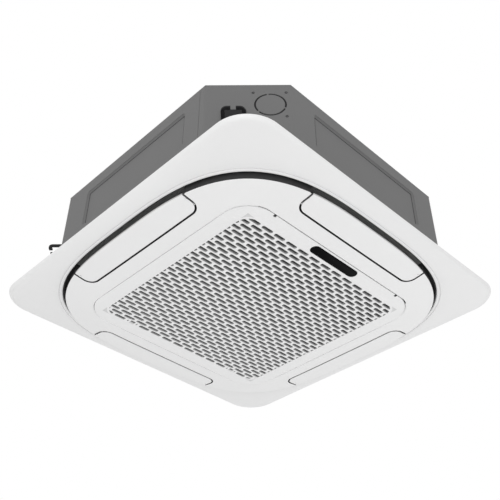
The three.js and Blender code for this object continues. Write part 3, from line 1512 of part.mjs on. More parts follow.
const flapBody = flap();
const flapMotorBody = flapMotor();
['right', 'back', 'left', 'front'].forEach((side, quarters) => {
  piece(`flap_${side}`, flapBody, 'whitePlastic', quarters);
  piece(`flap_motor_${side}`, flapMotorBody, 'cream', quarters);
});

piece('intake_grille', intakeGrille(), 'whitePlastic');
piece('grille_hinge_right', hingeArm(1), 'darkPlastic');
piece('grille_hinge_left', hingeArm(-1), 'darkPlastic');
piece('grille_catch_right', latch(1), 'whitePlastic');
piece('grille_catch_left', latch(-1), 'whitePlastic');
piece('air_filter', airFilter(), 'bluePlastic');
piece('display_lens', displayLens(), 'blackPlastic');
piece('display_board', displayBoard(), 'circuitBoard');

piece('casing_wrap', casingWrap(), 'casingPaint');
piece('top_plate', topPlate(), 'casingPaint');
piece('panel_gasket', panelGasket(), 'blackFoam');
piece('foam_liner', foamLiner(), 'foam');
[[1, 1, 'back_right'], [-1, 1, 'back_left'], [-1, -1, 'front_left'], [1, -1, 'front_right']]
  .forEach(([signX, signY, place]) => {
    piece(`hanger_bracket_${place}`, hangerBracket(signX, signY), 'blackPaint');
  });

piece('heat_exchanger', heatExchanger(), 'aluminium');
piece('coil_end_right', coilEnd(false), 'copper');
piece('coil_end_back', coilEnd(true), 'copper');
const gasPort = coilPort(true, exits.gas.z);
const liquidPort = coilPort(false, exits.liquid.z);
piece('gas_pipe', refrigerantPipe(exits.gas, gasPipeRadius, gasPort), 'copper');
piece('liquid_pipe', refrigerantPipe(exits.liquid, liquidPipeRadius, liquidPort), 'copper');
piece('gas_flare_nut', flareNut(exits.gas, gasPipeRadius), 'brass');
piece('liquid_flare_nut', flareNut(exits.liquid, liquidPipeRadius), 'brass');
piece('pipe_plate', pipePlate(), 'zincSteel');
piece('drain_outlet', drainOutlet(), 'greyPlastic');
piece('cable_gland', cableGland(), 'rubber');

piece('drain_pan', drainPan(), 'foam');
piece('drain_plug', drainPlug(), 'rubber');
piece('bell_mouth', bellMouth(), 'greyPlastic');
piece('turbo_fan', turboFan(), 'greyPlastic');
piece('fan_motor', fanMotor(), 'zincSteel');
piece('motor_shaft', motorShaft(), 'zincSteel');
piece('fan_nut', fanNut(), 'brass');
piece('drain_pump', drainPump(), 'cream');
piece('pump_bracket', pumpBracket(), 'zincSteel');
piece('float_switch', floatSwitch(), 'cream');
piece('float_ring', floatRing(), 'bluePlastic');

piece('control_box', controlBox(), 'zincSteel');
piece('control_cover', controlCover(), 'zincSteel');
piece('control_board', controlBoard(), 'circuitBoard');
piece('terminal_block', terminalBlock(), 'cream');

export default unit;
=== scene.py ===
import math

import bmesh
import bpy
from mathutils import Matrix, Vector


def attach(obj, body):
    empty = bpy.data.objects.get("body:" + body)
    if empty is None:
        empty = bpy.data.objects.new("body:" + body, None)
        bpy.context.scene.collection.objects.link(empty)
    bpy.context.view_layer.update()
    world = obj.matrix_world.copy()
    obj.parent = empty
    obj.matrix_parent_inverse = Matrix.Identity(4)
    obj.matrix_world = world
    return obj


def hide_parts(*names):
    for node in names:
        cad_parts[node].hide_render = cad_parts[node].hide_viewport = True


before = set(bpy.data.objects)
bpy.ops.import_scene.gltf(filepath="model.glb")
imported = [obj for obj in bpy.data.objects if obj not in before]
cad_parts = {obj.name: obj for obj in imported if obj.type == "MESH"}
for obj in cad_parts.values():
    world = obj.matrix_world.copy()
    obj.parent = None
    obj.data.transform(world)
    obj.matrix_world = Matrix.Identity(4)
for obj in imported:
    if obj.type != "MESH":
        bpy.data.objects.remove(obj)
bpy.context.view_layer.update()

bl_info = {
    "name": "Ceiling Cassette Air Conditioner",
    "version": (1, 0, 0),
    "blender": (4, 5, 0),
    "location": "3D View > Sidebar > Cassette",
    "description": "Dresses the solids of a four-way ceiling cassette air conditioner",
    "category": "Object",
}

# Named lengths are in millimetres, +Z up, z = 0 at the lowest face; the display is at the -Y side.
# The properties of the two groups below are in metres, as Blender shows them.
MM = 0.001

PANEL_HALF = 475
PANEL_CORNER = 88
RIM_TOP = 45.7
RIM_BAND = ((0.2, 44.6), (1.0, 43.1), (2.4, 41.2), (4.0, 39.5), (6.0, 38.0), (8.0, 36.9))
RIM_Z = RIM_BAND[-1][1]
OUTLINE_POWER = 3.3
LIP_HALF = 428
LIP_Z = 27
CENTRE_HALF = 418
DOME_RISE = 13.5
DOME_POWER = 1.5
FLAP_INNER = 356
FLAP_END = 203
FLAP_CORNER = 24
FLAP_AXIS = 381
FLAP_AXIS_Z = 25
FLAP_GAP = 5
THROAT_INNER = 344.1
THROAT_END = 207.3
VANE_SPAN = (350, 419)
VANE_HEIGHTS = (40, 53)
GRILLE_HALF = 308.5
GRILLE_CORNER = 75
SEAM = 3
FIELD_HALF = 270
FIELD_EDGE = 272
FIELD_CORNER = 37
FIELD_DEPTH = 9
CATCH_X = 181
CATCH_Y = 266
HINGE_X = 215
HINGE_Y = -306
HINGE_Z = 4.2
DISPLAY_Y = -290
DISPLAY_HALF = 80
DISPLAY_RADIUS = 13.5
DISPLAY_GAP = 0.3
BODY_HALF = 420
CORNER_CUT = 142
CASING_LOW = 62
CASING_TOP = 305
WRAP_TOP = 302.7
CORNER_FACE = (2 * BODY_HALF - CORNER_CUT) / math.sqrt(2)
SHEET = 2.0
LAP_SEAM_Y = 261
RECESS_HALF_LENGTH = 198
RECESS_HALF_HEIGHT = 58
RECESS_BELOW_TOP = 37
RECESS_ASIDE = 10
KNOCKOUT_ALONG = 52
KNOCKOUT_Z = 236.5
KNOCKOUT_INNER = 33.4
KNOCKOUT_OUTER = 37.8
KNOCKOUT_START = -47
KNOCKOUT_SWEEP = 114
SCREW_RADIUS = 3.6
SCREW_SPOTS = ((89, 277.5), (89, 196), (12, 277.5))
PIPE_Z = CASING_LOW + 80
PIPE_ALONG = 26
GAS_RADIUS = 8.0
LIQUID_RADIUS = 5.0
DRAIN_Z = CASING_LOW + 164
DRAIN_ALONG = 40
GLAND_Z = CASING_LOW + 58
GLAND_ALONG = -78
COIL_OUTER = 327.7
COIL_INNER = 289.7
COIL_LOW = 84.3
COIL_TOP = 286.7
COIL_OPEN = 120
FAN_RADIUS = 251.7
FAN_LOW = 131.7
FAN_TOP = 279.7
EYE_RADIUS = 209.7
SHROUD_WIDTH = 42
SHROUD_RISE = 36
FLOOR_REACH = 14

SIDE_STEPS = 24
CORNER_STEPS = 8
TURN_STEPS = 96


# ---------------------------------------------------------------------------
# Sizes and colours that a user would change
# ---------------------------------------------------------------------------

class CassetteSizes(bpy.types.PropertyGroup):
    """Sizes of the pieces that repeat."""
    row_pitch: bpy.props.FloatProperty(
        name="Slot row pitch", description="From one row of slots to the next", default=0.0142, min=0.01,
        unit="LENGTH")
    slot_pitch: bpy.props.FloatProperty(
        name="Slot pitch", description="From one slot to the next in its row", default=0.0402, min=0.02,
        unit="LENGTH")
    slot_height: bpy.props.FloatProperty(
        name="Slot height", description="Height of one slot of the grille", default=0.0100, min=0.004,
        unit="LENGTH")
    slot_web: bpy.props.FloatProperty(
        name="Slot web", description="Material between two slots of one row", default=0.0072, min=0.002,
        unit="LENGTH")
    slot_rows: bpy.props.IntProperty(
        name="Slot rows", description="Rows of slots in the grille", default=40, min=2)
    vane_pitch: bpy.props.FloatProperty(
        name="Vane pitch", description="From one outlet vane to the next", default=0.0050, min=0.002,
        unit="LENGTH")
    fin_pitch: bpy.props.FloatProperty(
        name="Fin pitch", description="From one fin of the coil to the next", default=0.0030, min=0.001,
        unit="LENGTH")
    net_pitch: bpy.props.FloatProperty(
        name="Net pitch", description="Mesh width of the filter's net", default=0.0044, min=0.002,
        unit="LENGTH")
    blade_count: bpy.props.IntProperty(
        name="Fan blades", description="Blades of the fan", default=7, min=3)
    lift: bpy.props.FloatProperty(
        name="Floor depth", description="How far the floor lies below the panel", default=2.3, min=0.5,
        unit="LENGTH")


class CassetteColours(bpy.types.PropertyGroup):
    """Colours of the main finishes."""
    panel: bpy.props.FloatVectorProperty(
        name="Panel white", description="Outer frame of the panel", default=(0.80, 0.80, 0.80),
        subtype="COLOR", min=0, max=1)
    centre: bpy.props.FloatVectorProperty(
        name="Centre white", description="Centre ring, flaps and grille", default=(0.81, 0.81, 0.81),
        subtype="COLOR", min=0, max=1)
    duct: bpy.props.FloatVectorProperty(
        name="Duct", description="Dark moulding in the groove", default=(0.055, 0.055, 0.056),
        subtype="COLOR", min=0, max=1)
    casing: bpy.props.FloatVectorProperty(
        name="Casing", description="Painted steel of the casing", default=(0.160, 0.160, 0.160),
        subtype="COLOR", min=0, max=1)
    net: bpy.props.FloatVectorProperty(
        name="Filter net", description="Net behind the grille", default=(0.10, 0.105, 0.11),
        subtype="COLOR", min=0, max=1)


# ---------------------------------------------------------------------------
# Node trees
# ---------------------------------------------------------------------------

def socket_of(sockets, key):
    """A socket by its place, its identifier or its name."""
    if isinstance(key, int):
        return sockets[key]
    for socket in sockets:
        if socket.identifier == key:
            return socket
    return sockets[key]


class Wire:
    """A number that leaves a node; sums and products of wires add their Math nodes."""

    def __init__(self, nodes, socket):
        self.nodes = nodes
        self.socket = socket

    def math(self, operation, first, second=None, clamp=False):
        values = {0: first} if second is None else {0: first, 1: second}
        return self.nodes.node(self.nodes.math_kind, values, {"operation": operation, "use_clamp": clamp})

    def __add__(self, other):
        return self.math("ADD", self, other)

    def __radd__(self, other):
        return self.math("ADD", other, self)

    def __sub__(self, other):
        return self.math("SUBTRACT", self, other)

    def __rsub__(self, other):
        return self.math("SUBTRACT", other, self)

    def __mul__(self, other):
        return self.math("MULTIPLY", self, other)

    def __rmul__(self, other):
        return self.math("MULTIPLY", other, self)

    def __truediv__(self, other):
        return self.math("DIVIDE", self, other)

    def __rtruediv__(self, other):
        return self.math("DIVIDE", other, self)

    def __mod__(self, other):
        return self.math("FLOORED_MODULO", self, other)

    def __abs__(self):
        return self.math("ABSOLUTE", self)

    def above(self, edge):
        return self.math("GREATER_THAN", self, edge)

    def larger(self, other):
        return self.math("MAXIMUM", self, other)

    def floored(self):
        return self.math("FLOOR", self)

    def rounded(self):
        return self.math("ROUND", self)

    def clamped(self):
        return self.math("ADD", self, 0, clamp=True)


class Nodes:
    """A node tree that is filled by calls to node."""

    math_kind = "ShaderNodeMath"

    def __init__(self, tree):
        self.tree = tree

    def node(self, kind, values=None, settings=None, output=0):
        """Adds a node: its settings first, then the values or links of its sockets."""
        node = self.tree.nodes.new(kind)
        for name, value in (settings or {}).items():
            if name == "stops":
                self.set_stops(node.color_ramp, value)
            else:
                setattr(node, name, value)
        for key, value in (values or {}).items():
            socket = socket_of(node.inputs, key)
            if isinstance(value, Wire):
                self.tree.links.new(value.socket, socket)
            else:
                socket.default_value = value
        return Wire(self, socket_of(node.outputs, output))

    @staticmethod
    def set_stops(ramp, stops):
        while len(ramp.elements) < len(stops):
            ramp.elements.new(1)
        for element, (place, colour) in zip(ramp.elements, stops):
            element.position = place
            element.color = colour

    def beside(self, wire, output):
        """Another output of the node that a wire leaves."""
        return Wire(self, socket_of(wire.socket.node.outputs, output))


class Finish(Nodes):
    """A material with one Principled shader."""

    def __init__(self, name, roughness=0.5, metallic=0.0, **constants):
        material = bpy.data.materials.new(name + "_finish")
        material.use_nodes = True
        super().__init__(material.node_tree)
        self.material = material
        self.shader = material.node_tree.nodes["Principled BSDF"]
        self.shader.inputs["Roughness"].default_value = roughness
        self.shader.inputs["Metallic"].default_value = metallic
        for key, value in constants.items():
            self.shader.inputs[key.replace("_", " ")].default_value = value
        self.place = self.node("ShaderNodeTexCoord", output="Object")

    def noise(self, scale, detail=2.0, roughness=0.5, stretch=(1, 1, 1), shift=0.0):
        place = self.node("ShaderNodeMapping", {"Vector": self.place, "Scale": stretch,
                                                "Location": (shift, shift, shift)})
        return self.node("ShaderNodeTexNoise", {"Vector": place, "Scale": scale, "Detail": detail,
                                                "Roughness": roughness})

    def cells(self, scale, feature="F1", stretch=(1, 1, 1), output="Distance"):
        place = self.node("ShaderNodeMapping", {"Vector": self.place, "Scale": stretch})
        return self.node("ShaderNodeTexVoronoi", {"Vector": place, "Scale": scale},
                         {"feature": feature}, output)

    def axis(self, letter):
        return self.node("ShaderNodeSeparateXYZ", {0: self.place}, output=letter)

    def blend(self, factor, first, second):
        """A colour between two colours."""
        return self.node("ShaderNodeMix", {"Factor_Float": factor, "A_Color": first, "B_Color": second},
                         {"data_type": "RGBA"}, "Result_Color")

    def shades(self, factor, colour, spread):
        """A colour that gets darker and lighter by a share as the factor runs from 0 to 1."""
        low = tuple(max(c * (1 - spread), 0) for c in colour) + (1,)
        high = tuple(min(c * (1 + spread), 1) for c in colour) + (1,)
        return self.blend(factor, low, high)

    def set(self, socket, wire):
        self.tree.links.new(wire.socket, self.shader.inputs[socket])
        return self

    def bump(self, height, distance, strength=1.0, below=None):
        values = {"Height": height, "Distance": distance, "Strength": strength}
        if below is not None:
            values["Normal"] = below
        wire = self.node("ShaderNodeBump", values)
        self.set("Normal", wire)
        return wire


class Growth(Nodes):
    """A Geometry Nodes tree with named inputs, run once on a mesh."""

    def __init__(self, name, inputs):
        tree = bpy.data.node_groups.new(name, "GeometryNodeTree")
        super().__init__(tree)
        tree.interface.new_socket("Geometry", in_out="INPUT", socket_type="NodeSocketGeometry")
        self.identifiers = {}
        self.values = {}
        for label, (kind, value) in inputs.items():
            socket = tree.interface.new_socket(label, in_out="INPUT", socket_type="NodeSocket" + kind)
            self.identifiers[label] = socket.identifier
            self.values[label] = value
        tree.interface.new_socket("Geometry", in_out="OUTPUT", socket_type="NodeSocketGeometry")
        self.entry = tree.nodes.new("NodeGroupInput")

    def given(self, label="Geometry"):
        return Wire(self, self.entry.outputs[label])

    def vector(self, x=0.0, y=0.0, z=0.0):
        return self.node("ShaderNodeCombineXYZ", {0: x, 1: y, 2: z})

    def joined(self, *wires):
        join = self.tree.nodes.new("GeometryNodeJoinGeometry")
        for wire in wires:
            self.tree.links.new(wire.socket, join.inputs[0])
        return Wire(self, join.outputs[0])

    def prism(self, length, width, radius, count, depth):
        """A closed prism over a rectangle with round corners, standing on z = 0."""
        outline = self.node("GeometryNodeCurvePrimitiveQuadrilateral", {"Width": length, "Height": width})
        outline = self.node("GeometryNodeFilletCurve", {"Curve": outline, "Radius": radius, "Count": count,
                                                        "Limit Radius": True}, {"mode": "POLY"})
        base = self.node("GeometryNodeFillCurve", {"Curve": outline}, {"mode": "NGONS"})
        raised = self.node("GeometryNodeExtrudeMesh", {"Mesh": base, "Offset": self.vector(0, 0, 1),
                                                       "Offset Scale": depth, "Individual": False})
        under = self.node("GeometryNodeFlipFaces", {"Mesh": base})
        return self.node("GeometryNodeMergeByDistance", {"Geometry": self.joined(raised, under),
                                                         "Distance": 1e-6})

    def boolean(self, operation, first, *others):
        node = self.tree.nodes.new("GeometryNodeMeshBoolean")
        node.operation = operation
        node.solver = "MANIFOLD"
        if operation == "DIFFERENCE":
            self.tree.links.new(first.socket, node.inputs["Mesh 1"])
            wires = others
        else:
            wires = (first, *others)
        for wire in wires:
            self.tree.links.new(wire.socket, node.inputs["Mesh 2"])
        return Wire(self, node.outputs["Mesh"])

    def run(self, result, mesh, material):
        """Ends the tree in Realize Instances and Set Material, and gives the mesh it makes."""
        result = self.node("GeometryNodeRealizeInstances", {0: result})
        result = self.node("GeometryNodeSetMaterial", {"Geometry": result, "Material": material})
        leave = self.tree.nodes.new("NodeGroupOutput")
        self.tree.links.new(result.socket, leave.inputs[0])
        carrier = bpy.data.objects.new("carrier", mesh)
        bpy.context.scene.collection.objects.link(carrier)
        modifier = carrier.modifiers.new("growth", "NODES")
        modifier.node_group = self.tree
        for label, value in self.values.items():
            modifier[self.identifiers[label]] = value
        grown = evaluated(carrier)
        carrier.modifiers.remove(modifier)
        bpy.data.objects.remove(carrier)
        if not grown.polygons:
            raise RuntimeError(f"{self.tree.name} made no faces")
        return grown


# ---------------------------------------------------------------------------
# Meshes
# ---------------------------------------------------------------------------

def evaluated(thing):
    """The plain mesh of an object with its modifiers applied."""
    bpy.context.view_layer.update()
    depsgraph = bpy.context.evaluated_depsgraph_get()
    return bpy.data.meshes.new_from_object(thing.evaluated_get(depsgraph))


def shell(vertices, faces):
    """A closed mesh in metres from millimetres, its doubles merged and its faces outwards."""
    mesh = bpy.data.meshes.new("shell")
    mesh.from_pydata([(x * MM, y * MM, z * MM) for x, y, z in vertices], [], faces)
    work = bmesh.new()
    work.from_mesh(mesh)
    bmesh.ops.remove_doubles(work, verts=work.verts, dist=1e-7)
    bmesh.ops.recalc_face_normals(work, faces=work.faces)
    work.to_mesh(mesh)
    work.free()
    return mesh


def combined(first, second, operation):
    """Two closed meshes joined, cut or intersected."""
    objects = []
    for mesh in (first, second):
        thing = bpy.data.objects.new("operand", mesh)
        bpy.context.scene.collection.objects.link(thing)
        objects.append(thing)
    modifier = objects[0].modifiers.new("cut", "BOOLEAN")
    modifier.operation = operation
    modifier.solver = "MANIFOLD"
    modifier.object = objects[1]
    result = evaluated(objects[0])
    for thing in objects:
        bpy.data.objects.remove(thing)
    if not result.polygons:
        raise RuntimeError(f"{operation} left nothing")
    return result


def cut(first, *others):
    for other in others:
        first = combined(first, other, "DIFFERENCE")
    return first


def joined(first, *others):
    for other in others:
        first = combined(first, other, "UNION")
    return first


def gathered(*meshes):
    """Several meshes as one mesh, side by side."""
    work = bmesh.new()
    for mesh in meshes:
        work.from_mesh(mesh)
    result = bpy.data.meshes.new("gathered")
    work.to_mesh(result)
    work.free()
    return result


def moved(mesh, matrix):
    """A copy of a mesh, placed by a matrix whose shift is in millimetres."""
    copy = mesh.copy()
    place = matrix.copy()
    place.translation *= MM
    copy.transform(place)
    if matrix.determinant() < 0:
        copy.flip_normals()
    return copy


def quarter(turn):
    return Matrix.Rotation(turn * math.pi / 2, 4, "Z")


def loft(rings, closed=True):
    """A shell through rings of points; the last ring joins the first, or both ends are capped."""
    count = len(rings[0])
    vertices = [point for ring in rings for point in ring]
    faces = []
    for band in range(len(rings) if closed else len(rings) - 1):
        here = band * count
        there = ((band + 1) % len(rings)) * count
        for i in range(count):
            j = (i + 1) % count
            faces.append((here + i, here + j, there + j, there + i))
    if not closed:
        last = (len(rings) - 1) * count
        faces.append(tuple(reversed(range(count))))
        faces.append(tuple(last + i for i in range(count)))
    return shell(vertices, faces)


def at_height(points, z):
    return [(x, y, z) for x, y in points]


def prism(points, low, high):
    return loft([at_height(points, low), at_height(points, high)], closed=False)


def block(x0, x1, y0, y1, z0, z1):
    return prism([(x0, y0), (x1, y0), (x1, y1), (x0, y1)], z0, z1)


def arc(x, y, radius, start, end, steps):
    """Points of an arc, in degrees."""
    points = []
    for i in range(steps + 1):
        turn = math.radians(start + (end - start) * i / steps)
        points.append((x + radius * math.cos(turn), y + radius * math.sin(turn)))
    return points


def rounded_rectangle(half_x, half_y, radius, steps=8):
    x, y = half_x - radius, half_y - radius
    return (arc(x, y, radius, 0, 90, steps) + arc(-x, y, radius, 90, 180, steps)
            + arc(-x, -y, radius, 180, 270, steps) + arc(x, -y, radius, 270, 360, steps))


def turned(profile, steps=TURN_STEPS, middle=(0, 0)):
    """A closed profile of (radius, z) turned about an upright axis."""
    rings = []
    for radius, z in profile:
        ring = []
        for i in range(steps):
            turn = 2 * math.pi * i / steps
            ring.append((middle[0] + radius * math.cos(turn), middle[1] + radius * math.sin(turn), z))
        rings.append(ring)
    return loft(rings)


def spun(profile, steps=TURN_STEPS):
    """An open profile of (radius, z) from axis to axis, turned about Z into a closed shell."""
    turns = [2 * math.pi * i / steps for i in range(steps)]
    return loft([[(radius * math.cos(turn), radius * math.sin(turn), z) for turn in turns]
                 for radius, z in profile], closed=False)


def along(start, end):
    """The matrix that takes the +Z axis to the line from start to end, its origin at start."""
    direction = Vector(end) - Vector(start)
    turn = direction.to_track_quat("Z", "Y").to_matrix().to_4x4()
    turn.translation = Vector(start)
    return turn


def rod(radius, start, end, steps=32, edge=0.6):
    """A round rod with slightly broken edges."""
    length = (Vector(end) - Vector(start)).length
    profile = [(radius - edge, 0), (radius, edge), (radius, length - edge), (radius - edge, length)]
    return moved(spun(profile, steps), along(start, end))


def tube(points, radius, bore, steps=20):
    """A tube along a smooth run of points."""
    rings = []
    side = Vector((0, 0, 1))
    for i, point in enumerate(points):
        before = points[max(i - 1, 0)]
        after = points[min(i + 1, len(points) - 1)]
        ahead = (after - before).normalized()
        side = (side - ahead * side.dot(ahead)).normalized()
        rings.append((point, side.copy(), ahead.cross(side)))
    def ring(place, size):
        point, first, second = place
        return [tuple(point + (first * math.cos(2 * math.pi * k / steps)
                               + second * math.sin(2 * math.pi * k / steps)) * size) for k in range(steps)]
    outside = [ring(place, radius) for place in rings]
    inside = [ring(place, bore) for place in reversed(rings)]
    return loft(outside + inside)


# The outlines of the panel share their polar angles, closer together at the corners.

def outline_angles():
    start = math.atan2(PANEL_HALF - PANEL_CORNER, PANEL_HALF)
    side = [start * (step / SIDE_STEPS) ** 0.75 for step in range(SIDE_STEPS)]
    corner = []
    for step in range(2 * CORNER_STEPS + 1):
        turn = step * math.pi / (4 * CORNER_STEPS)
        x = PANEL_HALF - PANEL_CORNER * (1 - math.cos(turn))
        y = PANEL_HALF - PANEL_CORNER * (1 - math.sin(turn))
        corner.append(math.atan2(y, x))
    back = [math.pi / 2 - angle for angle in reversed(side[1:])]
    return [angle + turn * math.pi / 2 for turn in range(4) for angle in side + corner + back]


ANGLES = outline_angles()


def squircle(half):
    """The superellipse |x|^n + |y|^n = half^n."""
    points = []
    for angle in ANGLES:
        c, s = math.cos(angle), math.sin(angle)
        radius = half / (abs(c) ** OUTLINE_POWER + abs(s) ** OUTLINE_POWER) ** (1 / OUTLINE_POWER)
        points.append((radius * c, radius * s))
    return points


def rounded_square(half, radius):
    """A square with round corners, at the shared angles."""
    centre = half - radius
    points = []
    for angle in ANGLES:
        c, s = abs(math.cos(angle)), abs(math.sin(angle))
        reach = half / max(c, s)
        if reach * min(c, s) > centre:
            middle = centre * (c + s)
            reach = middle + math.sqrt(max(middle ** 2 - 2 * centre ** 2 + radius ** 2, 0))
        points.append((reach * math.cos(angle), reach * math.sin(angle)))
    return points


def panel_outline(inset):
    return rounded_square(PANEL_HALF - inset, max(PANEL_CORNER - inset, 1))


def between(first, second, share):
    return [(a[0] + (b[0] - a[0]) * share, a[1] + (b[1] - a[1]) * share) for a, b in zip(first, second)]


def paint_gap_shade(mesh, rule):
    """Stores on each face how dark painted shade makes it in narrow gaps; rule takes its centre in mm and
    its normal.
    """
    shade = mesh.attributes.new("gap", "FLOAT", "FACE")
    for face in mesh.polygons:
        shade.data[face.index].value = rule(face.center / MM, face.normal)


def piece(name, mesh, finish, body, replaces=(), sharp=32):
    """Puts a finished mesh into the scene as a piece that rides on a body."""
    thing = bpy.data.objects.new(name, mesh)
    bpy.context.scene.collection.objects.link(thing)
    mesh.name = name
    mesh.materials.clear()
    mesh.materials.append(finish_of(finish))
    mesh.shade_smooth()
    mesh.set_sharp_from_angle(angle=math.radians(sharp))
    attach(thing, body)
    if replaces:
        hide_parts(*replaces)
    return thing


# ---------------------------------------------------------------------------
# Finishes
# ---------------------------------------------------------------------------

def finish_of(name):
    return bpy.data.materials[name + "_finish"]


def moulded_plastic(name, colour, roughness, grain=0.000012, spread=0.012, shift=0.0, specular=0.4,
                    painted_slot_shade=0.0):
    """Injection-moulded plastic with a fine spark-eroded grain, with painted shade in its gaps and painted
    shade that darkens its slots with depth.
    """
    finish = Finish(name, roughness=roughness)
    finish.shader.inputs["Specular IOR Level"].default_value = specular
    cloud = finish.noise(7, 3, shift=shift)
    fine = finish.noise(1700, 2, shift=shift)
    tone = finish.shades(cloud, colour, spread)
    # Painted shade: faces marked with it turn near black.
    gap = finish.node("ShaderNodeAttribute", settings={"attribute_name": "gap"}, output="Fac")
    tone = finish.blend(gap, tone, (0.012, 0.012, 0.013, 1))
    # Painted shade in the grille's slots: their walls darken the higher they lie in the field.
    if painted_slot_shade:
        side = abs(finish.axis("X")).larger(abs(finish.axis("Y")))
        inside = 1 - side.above(FIELD_EDGE * MM)
        height = finish.axis("Z")
        depth = (height * 110 + 0.25).clamped() * height.above(0.0001)
        tone = finish.blend(inside * depth * painted_slot_shade, tone, (0.04, 0.04, 0.042, 1))
    finish.set("Base Color", tone)
    finish.set("Roughness", roughness - 0.04 + cloud * 0.04 + fine * 0.05)
    finish.bump(fine, grain)
    return finish


def painted_steel(name, colour, roughness, grain=0.00003, spread=0.03):
    """Powder-coated sheet with a slight orange peel; the floor of its pressed grooves gets painted shade."""
    finish = Finish(name, roughness=roughness)
    finish.shader.inputs["Specular IOR Level"].default_value = 0.15
    cloud = finish.noise(5, 3)
    peel = finish.noise(420, 2)
    speck = finish.noise(1500, 1, shift=3.0)
    tone = finish.shades((cloud * 0.7 + speck * 0.3).clamped(), colour, spread)
    # Painted shade: faces marked with it turn dark grey.
    gap = finish.node("ShaderNodeAttribute", settings={"attribute_name": "gap"}, output="Fac")
    finish.set("Base Color", finish.blend(gap, tone, (0.02, 0.02, 0.02, 1)))
    finish.set("Roughness", roughness - 0.05 + peel * 0.1)
    finish.bump(peel * 0.7 + speck * 0.3, grain)
    return finish


def zinc_steel(name, colour):
    """Galvanised sheet with its spangle."""
    finish = Finish(name, roughness=0.42, metallic=0.85)
    spangle = finish.cells(140, output="Color")
    tone = finish.node("ShaderNodeSeparateColor", {0: spangle}, output="Red")
    scratch = finish.noise(60, 3, stretch=(1, 30, 1))
    finish.set("Base Color", finish.shades((tone * 0.7 + scratch * 0.3).clamped(), colour, 0.12))
    finish.set("Roughness", 0.34 + tone * 0.12 + scratch * 0.08)
    finish.bump(scratch, 0.00001)
    return finish


def foam_beads(name, colour, scale=320):
    """Expanded foam of small pressed beads."""
    finish = Finish(name, roughness=0.92)
    bead = finish.cells(scale)
    edge = finish.cells(scale, "DISTANCE_TO_EDGE")
    cloud = finish.noise(9, 2)
    seam = (edge * 9.0).clamped()
    finish.set("Base Color", finish.shades((0.2 + seam * 0.6 + cloud * 0.2).clamped(), colour, 0.07))
    finish.set("Roughness", 0.95 - seam * 0.08)
    finish.bump(seam - bead * 0.5, 0.00035, 0.7)
    return finish


def rubber_foam(name, colour):
    finish = Finish(name, roughness=0.95)
    pores = finish.cells(700)
    cloud = finish.noise(30, 2)
    finish.set("Base Color", finish.shades((pores * 0.8 + cloud * 0.3).clamped(), colour, 0.25))
    finish.set("Roughness", 0.88 + cloud * 0.1)
    finish.bump(pores, 0.0002, 0.6)
    return finish


def fin_aluminium(name):
    """Thin coated fins with a faint lengthwise drawing grain."""
    finish = Finish(name, roughness=0.45, metallic=0.2)
    streak = finish.noise(30, 3, stretch=(1, 1, 0.08))
    dust = finish.noise(16, 2)
    finish.set("Base Color", finish.shades((streak * 0.6 + dust * 0.4).clamped(), (0.62, 0.63, 0.64), 0.12))
    finish.set("Roughness", 0.36 + streak * 0.16)
    finish.bump(streak, 0.00001)
    return finish


def drawn_metal(name, colour, roughness, dull):
    """Drawn copper or turned brass that has dulled in patches."""
    finish = Finish(name, roughness=roughness, metallic=0.95)
    patch = finish.noise(38, 3)
    line = finish.noise(700, 1, stretch=(1, 1, 6))
    tarnish = (patch * 2.4 - 0.8).clamped()
    finish.set("Base Color", finish.blend(tarnish * 0.6, colour + (1,), dull + (1,)))
    finish.set("Roughness", roughness + tarnish * 0.12 + line * 0.05)
    finish.bump(line, 0.000008)
    return finish


def display_gloss(name):
    """Smoked acrylic window with faint smears."""
    finish = Finish(name, roughness=0.2)
    finish.shader.inputs["Specular IOR Level"].default_value = 0.02
    smear = finish.noise(24, 3)
    finish.set("Base Color", finish.shades(smear, (0.0035, 0.0035, 0.004), 0.3))
    finish.set("Roughness", 0.16 + smear * 0.08)
    finish.bump(finish.noise(60, 1), 0.00001)
    return finish


def circuit_board(name):
    """Green solder resist with its tracks and lighter pads."""
    finish = Finish(name, roughness=0.4)
    x = finish.axis("X")
    y = finish.axis("Y")
    wobble = finish.noise(22, 1)
    track = abs(((x * 260.0 + wobble * 3.0) % 1.0) - 0.5).above(0.34)
    lane = abs(((y * 180.0 + wobble * 2.0) % 1.0) - 0.5).above(0.36)
    copper = (track + lane).clamped()
    pad = 1 - finish.cells(190).above(0.2)
    green = finish.blend(copper, (0.012, 0.075, 0.028, 1), (0.02, 0.12, 0.045, 1))
    finish.set("Base Color", finish.blend(pad * 0.8, green, (0.55, 0.53, 0.48, 1)))
    finish.set("Roughness", 0.45 - copper * 0.1)
    finish.bump(copper, 0.00004)
    return finish


def screw_metal(name, colour):
    finish = Finish(name, roughness=0.4, metallic=0.8)
    fine = finish.noise(600, 2)
    finish.set("Base Color", finish.shades(fine, colour, 0.2))
    finish.set("Roughness", 0.35 + fine * 0.15)
    finish.bump(fine, 0.00002)
    return finish


def floor_finish(name):
    """Pale floor with a faint cloud."""
    finish = Finish(name, roughness=0.9)
    cloud = finish.noise(0.7, 2)
    finish.set("Base Color", finish.shades(cloud, (0.86, 0.86, 0.86), 0.01))
    return finish


